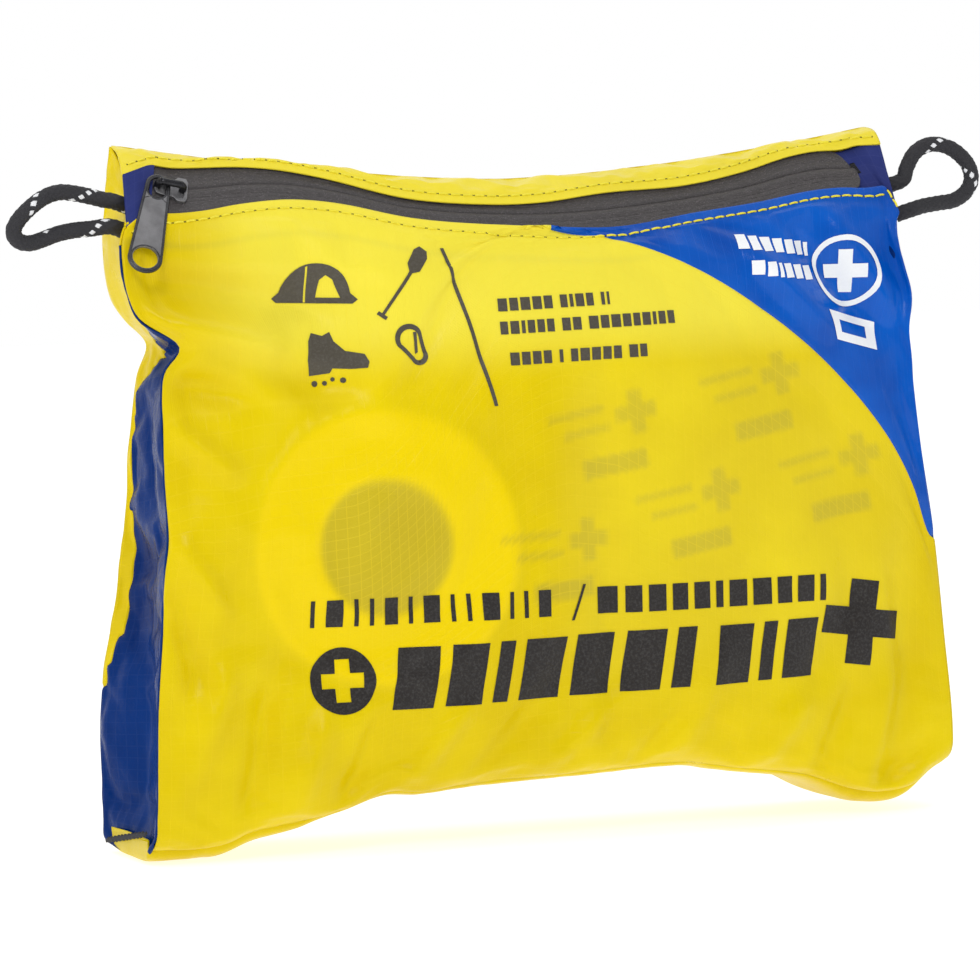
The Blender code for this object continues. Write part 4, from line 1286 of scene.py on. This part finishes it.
def make_slider(gunmetal, dark):
    matrix = slider_matrix()
    whole = slider_outline(8.4, 7.6)
    well = slider_outline(6.6, 5.4)
    plate = plate_mesh("plate", [whole], 0.70, 1.55, 0.18)
    rim = plate_mesh("rim", [whole, well], 1.35, 2.05, 0.16)
    floor = plate_mesh("floor", [slider_outline(7.9, 6.4)], -2.9, -2.1, 0.2)
    web = plate_mesh("web", [[(-0.6, -0.28), (3.0, -0.28), (3.0, 0.28), (-0.6, 0.28)]], -2.6, 1.2, 0.05)
    body = joined("slider_shell", [plate, rim, floor, web], matrix)
    add_piece("slider_shell", body, gunmetal, body="slider", replaces=["slider_body"])

    height = BRIDGE_HEIGHT
    left, right, bend = -3.5, 2.9, 1.25
    profile = [(left, 1.4)] + arc(left + bend, height - bend, bend, 180, 90, 6)
    profile += arc(right - bend, height - bend, bend, 90, 0, 6) + [(right, 1.4)]
    bm = bmesh.new()
    line = smooth_curve([Vector((x, 0, z)) * MM for x, z in profile], 2)
    bar_along(bm, line, 0.95 * MM, sides=16)
    bm.transform(matrix)
    add_piece("slider_bridge", mesh_from(bm, "slider_bridge"), dark, body="slider",
              replaces=["slider_crown"])


def make_pull(grained, polished):
    down = Vector((0, -math.sin(PULL_HANG), -math.cos(PULL_HANG)))
    along = Vector((1, 0, 0))
    rotation = Matrix((along, -down, along.cross(-down))).transposed().to_4x4()
    matrix = (slider_matrix() @ Matrix.Translation((0, 0, BRIDGE_HEIGHT * MM)) @ rotation
              @ Matrix.Rotation(PULL_LEAN, 4, "Z") @ Matrix.Translation((0, 0, -1.4 * MM)))

    def outline(inset):
        return (arc(EYE_X, -EYE_DROP, EYE_RADIUS - inset, 0, 180, 24)
                + arc(EYE_X, -RING_DROP, RING_RADIUS - inset, 180, 360, 32))

    eye = arc(EYE_X, -EYE_DROP, 2.2, 0, 180, 18) + arc(EYE_X, -EYE_DROP - 1.9, 2.2, 180, 360, 18)
    ring = arc(EYE_X, -RING_DROP, RING_HOLE, 0, 354, 59)
    face = plate_mesh("face", [outline(0.1), eye, ring], -0.36, 0.36, 0.06)
    add_piece("pull_plate", joined("pull_plate", [face], matrix), grained, body="pull",
              replaces=["pull_tab"])

    bm = bmesh.new()
    for loop, radius, closed in ((outline(0.42), 0.42, True),
                                 (arc(EYE_X, -RING_DROP, RING_HOLE + 0.36, 0, 354, 59), 0.36, True),
                                 (arc(EYE_X, -EYE_DROP - 7.6, 3.9, 42, 138, 16), 0.13, False)):
        for level in ((0.12, -0.12) if closed else (0.34, -0.34)):
            line = [Vector((x, y, level)) * MM for x, y in loop]
            bar_along(bm, line, radius * MM, sides=10, closed=closed)
    eye_rim = arc(EYE_X, -EYE_DROP, 2.45, 0, 180, 18) + arc(EYE_X, -EYE_DROP - 1.9, 2.45, 180, 360, 18)
    bar_along(bm, [Vector((x, y, 0)) * MM for x, y in eye_rim], 0.44 * MM, sides=10, closed=True)
    bm.transform(matrix)
    add_piece("pull_rims", mesh_from(bm, "pull_rims"), polished, body="pull")


# --- Surfaces to lay stitches and prints on -------------------------------------------------------
def surface_tree(objects):
    """A search tree over the final cloth, so that what is printed on it follows its creases."""
    graph = bpy.context.evaluated_depsgraph_get()
    verts, faces = [], []
    for obj in objects:
        mesh = obj.evaluated_get(graph).to_mesh()
        start = len(verts)
        verts += [v.co.copy() for v in mesh.vertices]
        faces += [[start + k for k in polygon.vertices] for polygon in mesh.polygons]
        obj.evaluated_get(graph).to_mesh_clear()
    return BVHTree.FromPolygons(verts, faces)


def drop_on_front(tree, x, z, lift):
    hit, normal, _, _ = tree.ray_cast(Vector((x, -0.08, z)), Vector((0, 1, 0)))
    if hit is None:
        return None
    if normal.y > 0:
        normal = -normal
    return hit + normal * lift


def drop_on_zipper(tree, point):
    """The cloth's surface near a point beside the zipper, looked for along the tapes' normal."""
    hit, _, _, _ = tree.ray_cast(point + OUTWARD * 10 * MM, -OUTWARD)
    return hit


def add_stitches(name, line, material, dark, length=2.5 * MM, pitch=3.2 * MM, radius=0.28 * MM):
    """Short threads along a line of points on the cloth, each sunk at its ends, beside a dark disc of painted
    shade in the needle hole.
    """
    bm, pits = bmesh.new(), bmesh.new()
    travelled, next_at = 0.0, pitch / 2
    for a, b in zip(line, line[1:]):
        step = (b - a).length
        while next_at < travelled + step:
            centre = lerp(a, b, (next_at - travelled) / step)
            along = (b - a).normalized()
            points = []
            for k in range(7):
                t = k / 3 - 1
                points.append(centre + along * (t * length / 2) + OUTWARD * (radius * (0.75 - 1.1 * t * t)))
            bar_along(bm, points, radius, sides=6)
            # Dark discs at the thread's ends: painted shade in the needle holes.
            for end in (-1, 1):
                spot = centre + along * (end * (length / 2 + 0.12 * MM))
                bar_along(pits, [spot - OUTWARD * 0.1 * MM, spot + OUTWARD * 0.10 * MM], 0.21 * MM, sides=6)
            next_at += pitch
        travelled += step
    add_piece(name, mesh_from(bm, name), material)
    add_piece(name + "_holes", mesh_from(pits, name + "_holes"), dark)


def make_stitches(tree, thread, dark):
    for name, side, inset in (("lip_stitches", 1, -2.8 * MM), ("facing_stitches", -1, -2.6 * MM)):
        line = [drop_on_zipper(tree, zipper_edge(u, side, inset=inset)) for u in spread(-0.985, 0.985, 400)]
        add_stitches(name, [point for point in line if point is not None], thread, dark)


# --- Prints ---------------------------------------------------------------------------------------
def flat_print(name, shapes, tree, material, cell=1.2, lift=0.16):
    """Ink shapes given as (outline, holes) in mm, cut into small faces and laid on the cloth."""
    whole = bmesh.new()
    for shape in shapes:
        outer, holes = shape if isinstance(shape, tuple) else (shape, [])
        bm = bmesh.new()
        edges = []
        for loop in [outer] + holes:
            verts = [bm.verts.new((x, 0, z)) for x, z in loop]
            edges += [bm.edges.new((verts[k], verts[(k + 1) % len(verts)])) for k in range(len(verts))]
        bmesh.ops.triangle_fill(bm, use_beauty=True, use_dissolve=False, edges=edges)
        for axis in (0, 2):
            values = [v.co[axis] for v in bm.verts]
            low, high = min(values), max(values)
            for k in range(1, int((high - low) / cell) + 1):
                place, normal = Vector((0, 0, 0)), Vector((0, 0, 0))
                place[axis], normal[axis] = low + k * cell, 1
                geometry = list(bm.verts) + list(bm.edges) + list(bm.faces)
                bmesh.ops.bisect_plane(bm, geom=geometry, dist=1e-4, plane_co=place, plane_no=normal)
        for vertex in list(bm.verts):
            place = drop_on_front(tree, vertex.co.x * MM, vertex.co.z * MM, lift * MM)
            if place is None:
                bm.verts.remove(vertex)
            else:
                vertex.co = place
        bmesh.ops.triangulate(bm, faces=bm.faces)
        piece = bpy.data.meshes.new("ink")
        bm.to_mesh(piece)
        bm.free()
        whole.from_mesh(piece)
        bpy.data.meshes.remove(piece)
    mesh = bpy.data.meshes.new(name)
    whole.to_mesh(mesh)
    whole.free()
    mesh.shade_smooth()
    return add_piece(name, mesh, material)


def bar(x, z, width, height, slant=0.0):
    return [(x, z), (x + width, z), (x + width + slant * height, z + height),
            (x + slant * height, z + height)]


def disc(cx, cz, radius, start=0, end=360, steps=24):
    whole = abs(end - start) >= 360
    count = steps if whole else steps + 1
    return [(cx + radius * math.cos(math.radians(start + (end - start) * k / steps)),
             cz + radius * math.sin(math.radians(start + (end - start) * k / steps))) for k in range(count)]


def plus(cx, cz, arm, half):
    return [(cx - half, cz - arm), (cx + half, cz - arm), (cx + half, cz - half), (cx + arm, cz - half),
            (cx + arm, cz + half), (cx + half, cz + half), (cx + half, cz + arm), (cx - half, cz + arm),
            (cx - half, cz + half), (cx - arm, cz + half), (cx - arm, cz - half), (cx - half, cz - half)]


def turned(points, cx, cz, degrees, scale=1.0):
    a = math.radians(degrees)
    return [(cx + (x * math.cos(a) - z * math.sin(a)) * scale,
             cz + (x * math.sin(a) + z * math.cos(a)) * scale)
            for x, z in points]


def placed(shapes, cx, cz, degrees, scale=1.0):
    result = []
    for shape in shapes:
        outer, holes = shape if isinstance(shape, tuple) else (shape, [])
        result.append((turned(outer, cx, cz, degrees, scale),
                       [turned(h, cx, cz, degrees, scale) for h in holes]))
    return result


def block_line(x, z, end, height, rise, widths, gap, slant=0.0):
    """A line of plain blocks in place of a printed word, rising by rise mm per mm; width 0 is a space."""
    shapes = []
    at, k = x, 0
    while at < end:
        width = widths[k % len(widths)] * height
        k += 1
        if width == 0:
            at += height * 0.45
            continue
        width = min(width, end - at)
        if width > 0.12 * height:
            shapes.append(bar(at, z + (at - x) * rise, width, height, slant))
        at += width + height * gap
    return shapes


def activity_marks():
    tent = disc(0, -1.0, 10.0, 10, 170, 18) + [(-11.8, -1.0), (-10.4, -2.2), (10.4, -2.2), (11.8, -1.0)]
    door = [(0.6, -0.6), (1.2, 4.4), (2.6, 5.8), (4.6, 4.6), (7.2, -0.6)]
    seam = [(-2.6, -2.0), (-2.0, -2.0), (-2.4, 8.2), (-3.0, 8.0)]
    boot = [(-6.5, 5.5), (-5.2, 7.6), (-2.2, 6.4), (0.0, 7.2), (0.6, 4.6), (3.2, 1.6), (8.0, 0.2),
            (8.8, -2.0), (8.2, -3.6), (4.0, -3.4), (-0.8, -2.6), (-1.6, -3.8), (-7.4, -3.8), (-7.6, 0.6)]
    crumbs = [disc(x, z, r, steps=8) for x, z, r in ((-6, -6.2, 0.9), (-3.2, -6.4, 0.7), (-1.0, -5.6, 0.6),
                                                     (1.6, -6.2, 0.8))]
    shaft = [(-0.45, -11.5), (0.45, -11.5), (0.55, 5.0), (-0.55, 5.0)]
    blade = [(-0.6, 4.6), (-2.3, 6.4), (-2.5, 11.5), (-1.4, 13.4), (1.4, 13.4), (2.5, 11.5), (2.3, 6.4),
             (0.6, 4.6)]
    grip = [(-1.6, -12.6), (1.6, -12.6), (1.6, -11.4), (-1.6, -11.4)]
    link = disc(0, 2.4, 3.9, 0, 180, 14) + disc(0.3, -3.0, 2.5, 180, 360, 12)
    link_hole = disc(0, 2.2, 2.7, 0, 180, 12) + disc(0.3, -2.8, 1.4, 180, 360, 10)
    latch = [(-0.5, -2.0), (0.5, -2.0), (2.6, 3.0), (1.7, 3.4)]
    return (placed([(tent, [door, seam])], -60.0, 140.4, -2, 0.90)
            + placed([boot] + crumbs, -56.2, 124.6, 6, 0.92)
            + placed([shaft, blade, grip], -38.2, 142.6, -37, 0.80)
            + placed([(link, [link_hole]), latch], -36.6, 127.0, 28, 0.95))


def make_prints(tree, black, faded, white):
    flat_print("activity_marks", activity_marks(), tree, faded)

    divider = [[(-26.9, 151.2), (-25.9, 151.2), (-15.6, 111.4), (-16.6, 111.4)]]
    small = block_line(-13.8, 135.0, 16, 3.2, 0.03,
                       (0.75, 0.7, 0.8, 0.75, 0.7, 0, 0.6, 0.3, 0.7, 0.6, 0, 0.3), 0.2)
    small += block_line(-13.6, 129.2, 34, 3.2, 0.03,
                        (0.6, 0.7, 0.3, 0.6, 0.6, 0.6, 0, 0.7, 0.7, 0, 0.8, 0.7, 0.8, 0.7), 0.2)
    small += block_line(-11.8, 121.4, 25, 3.2, 0.03,
                        (0.75, 0.7, 0.7, 0.65, 0, 0.3, 0, 0.6, 0.8, 0.75, 0.7, 0.65, 0), 0.2)
    flat_print("divider_and_small_lines", divider + small, tree, faded)

    thin = block_line(-66.0, 57.8, -1, 6.8, 0.0, (0.16, 0.62, 0.16, 0.16, 0.5, 0.16, 0.62, 0.16), 0.42)
    bold = block_line(10.0, 57.6, 74, 6.8, 0.0, (0.8, 0.62, 0.7, 0.62, 0.66, 0.3, 0.74), 0.26)
    slash = [[(2.2, 56.4), (3.0, 56.4), (6.6, 65.4), (5.8, 65.4)]]
    flat_print("heading_line", thin + bold + slash, tree, black)

    rise = 0.018
    band = [placed([(disc(0, 0, 8.4, steps=40), [plus(0, 0, 5.4, 1.9)])], -58.2, 44.2, 0)[0]]
    band += block_line(-46.0, 36.4, 34.0, 15.4, rise, (0.68, 0.62, 0.26, 0.74, 0.68), 0.20, slant=0.16)
    band += block_line(40.5, 37.9, 70.0, 15.0, rise, (0.66, 0.26, 0.62), 0.20, slant=0.16)
    flat_print("bold_band", band, tree, black, cell=1.8)
    flat_print("large_cross", placed([plus(0, 0, 11.0, 3.6)], 84.6, 51.2, -8), tree, black,
               cell=1.8)

    mark = [(disc(0, 0, 9.4, steps=40), [disc(0, 0, 8.0, steps=36)]), plus(0, 0, 5.6, 1.8)]
    mark = placed(mark, 86.0, 142.0, 0)
    mark += block_line(54.0, 148.6, 76, 3.6, -0.12, (0.8, 0.7, 0.8, 0.75), 0.2)
    mark += block_line(56.6, 142.0, 75, 3.6, -0.12, (0.9, 0.7, 0.3, 0.7, 0.75), 0.2)
    label = [(78.2, 132.4), (93.6, 128.4), (92.8, 121.2), (80.2, 124.6)]
    slots = [[(81.4, 129.6), (90.6, 127.2), (90.2, 124.2), (81.9, 126.4)]]
    flat_print("white_mark", mark + [(label, slots)], tree, white)


# --- Packed contents ------------------------------------------------------------------------------
def make_contents():
    """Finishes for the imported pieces, which keep their CAD shapes."""
    foil = plain_material("foil_packet", (0.72, 0.73, 0.75), 0.32, metallic=0.8, grain=0.05, scale=700)
    paper = plain_material("printed_paper", (0.82, 0.81, 0.77), 0.65, grain=0.04, scale=1200)
    gauze = plain_material("woven_gauze", (0.88, 0.88, 0.86), 0.9, grain=0.10, scale=2600)
    film = plain_material("bag_film", (0.80, 0.84, 0.84), 0.18, grain=0.03, scale=300)
    plaster = plain_material("tan_plaster_cloth", (0.70, 0.45, 0.28), 0.75, grain=0.08, scale=2200)
    glove = plain_material("glove_film", (0.10, 0.28, 0.62), 0.35, grain=0.05, scale=500)
    tape = plain_material("white_cloth_tape", (0.84, 0.83, 0.80), 0.7, grain=0.07, scale=2600)
    silver = plain_material("silver_cloth_tape", (0.45, 0.46, 0.48), 0.4, grain=0.06, scale=1800)
    steel = metal_material("bright_steel", (0.60, 0.61, 0.63, 1), (0.42, 0.43, 0.45, 1), 0.28, 0.2)
    finishes = {
        "tape_core": paper, "tape_roll": tape, "repair_tape_core": paper, "repair_tape_roll": silver,
        "roller_bandage": gauze, "inner_bag": film, "gauze_pad": gauze, "info_card": paper,
        "moleskin_sheet": plaster, "glove_pack": glove, "adhesive_strips": plaster,
        "knuckle_plasters": plaster,
        "antiseptic_wipe": foil, "medication_packet": foil, "ointment_sachet": foil, "tweezers": steel,
        "safety_pin": steel,
    }
    for node, obj in frame["nodes"].items():
        for start, material in finishes.items():
            if node.startswith(start):
                obj.data.materials.clear()
                obj.data.materials.append(material)


# --- Make everything ------------------------------------------------------------------------------
make_camera()
make_stage()
make_contents()
make_loops(cord_material())
yellow = cloth_material("yellow_ripstop", (0.80, 0.62, 0.0, 1), (0.70, 0.52, 0.0, 1), 0.34, 0.02, 0.12,
                        show_through_and_light=True)
blue = cloth_material("blue_ripstop", (0.0, 0.125, 0.62, 1), (0.0, 0.066, 0.40, 1), 0.20, 0.06, 0.18,
                      crinkle=0.5)
# The gussets' blue ripstop, painted far darker than the corner's: painted shade on the pouch's sides.
shaded_gusset_blue = cloth_material("shaded_gusset_blue", (0.0, 0.032, 0.19, 1), (0.0, 0.018, 0.12, 1), 0.20, 0.02, 0.06,
                             crinkle=0.6)
navy = cloth_material("navy_fabric", (0.030, 0.044, 0.20, 1), (0.020, 0.030, 0.15, 1), 0.75, 0.0, 0.15,
                      crinkle=0.2)
coating = zipper_material()
dark_metal = metal_material("black_enamel", (0.030, 0.030, 0.034, 1), (0.016, 0.016, 0.018, 1), 0.30, 0.1)
gunmetal = metal_material("gunmetal_enamel", (0.230, 0.228, 0.236, 1), (0.160, 0.158, 0.165, 1), 0.45, 0.5)
polished = metal_material("polished_gunmetal", (0.085, 0.085, 0.090, 1), (0.045, 0.045, 0.050, 1), 0.25, 0.1)
thread = plain_material("yellow_thread", (0.92, 0.80, 0.03), 0.5, grain=0.08, scale=2500)
black_tape = plain_material("black_binding", (0.015, 0.015, 0.02), 0.8, grain=0.10, scale=2500)
black_ink = print_material("black_ink", (0.020, 0.017, 0.016))
faded_ink = print_material("faded_black_ink", (0.075, 0.066, 0.050), 0.35)
white_ink = print_material("white_ink", (0.88, 0.90, 0.92))
front, corner = make_front(yellow, blue)
back = make_back(yellow)
make_bottom(yellow)
facing = make_facing(yellow)
make_sides(shaded_gusset_blue, yellow)
make_tabs(navy)
make_bindings(black_tape)
make_zipper(coating, dark_metal)
make_stops(dark_metal)
make_slider(gunmetal, dark_metal)
make_pull(gunmetal, polished)
tree = surface_tree([front, corner, facing])
# The dark colour of the needle holes is painted shade.
make_stitches(tree, thread, plain_material("needle_hole_shade", (0.10, 0.08, 0.01), 0.9))
make_prints(surface_tree([front, corner]), black_ink, faded_ink, white_ink)

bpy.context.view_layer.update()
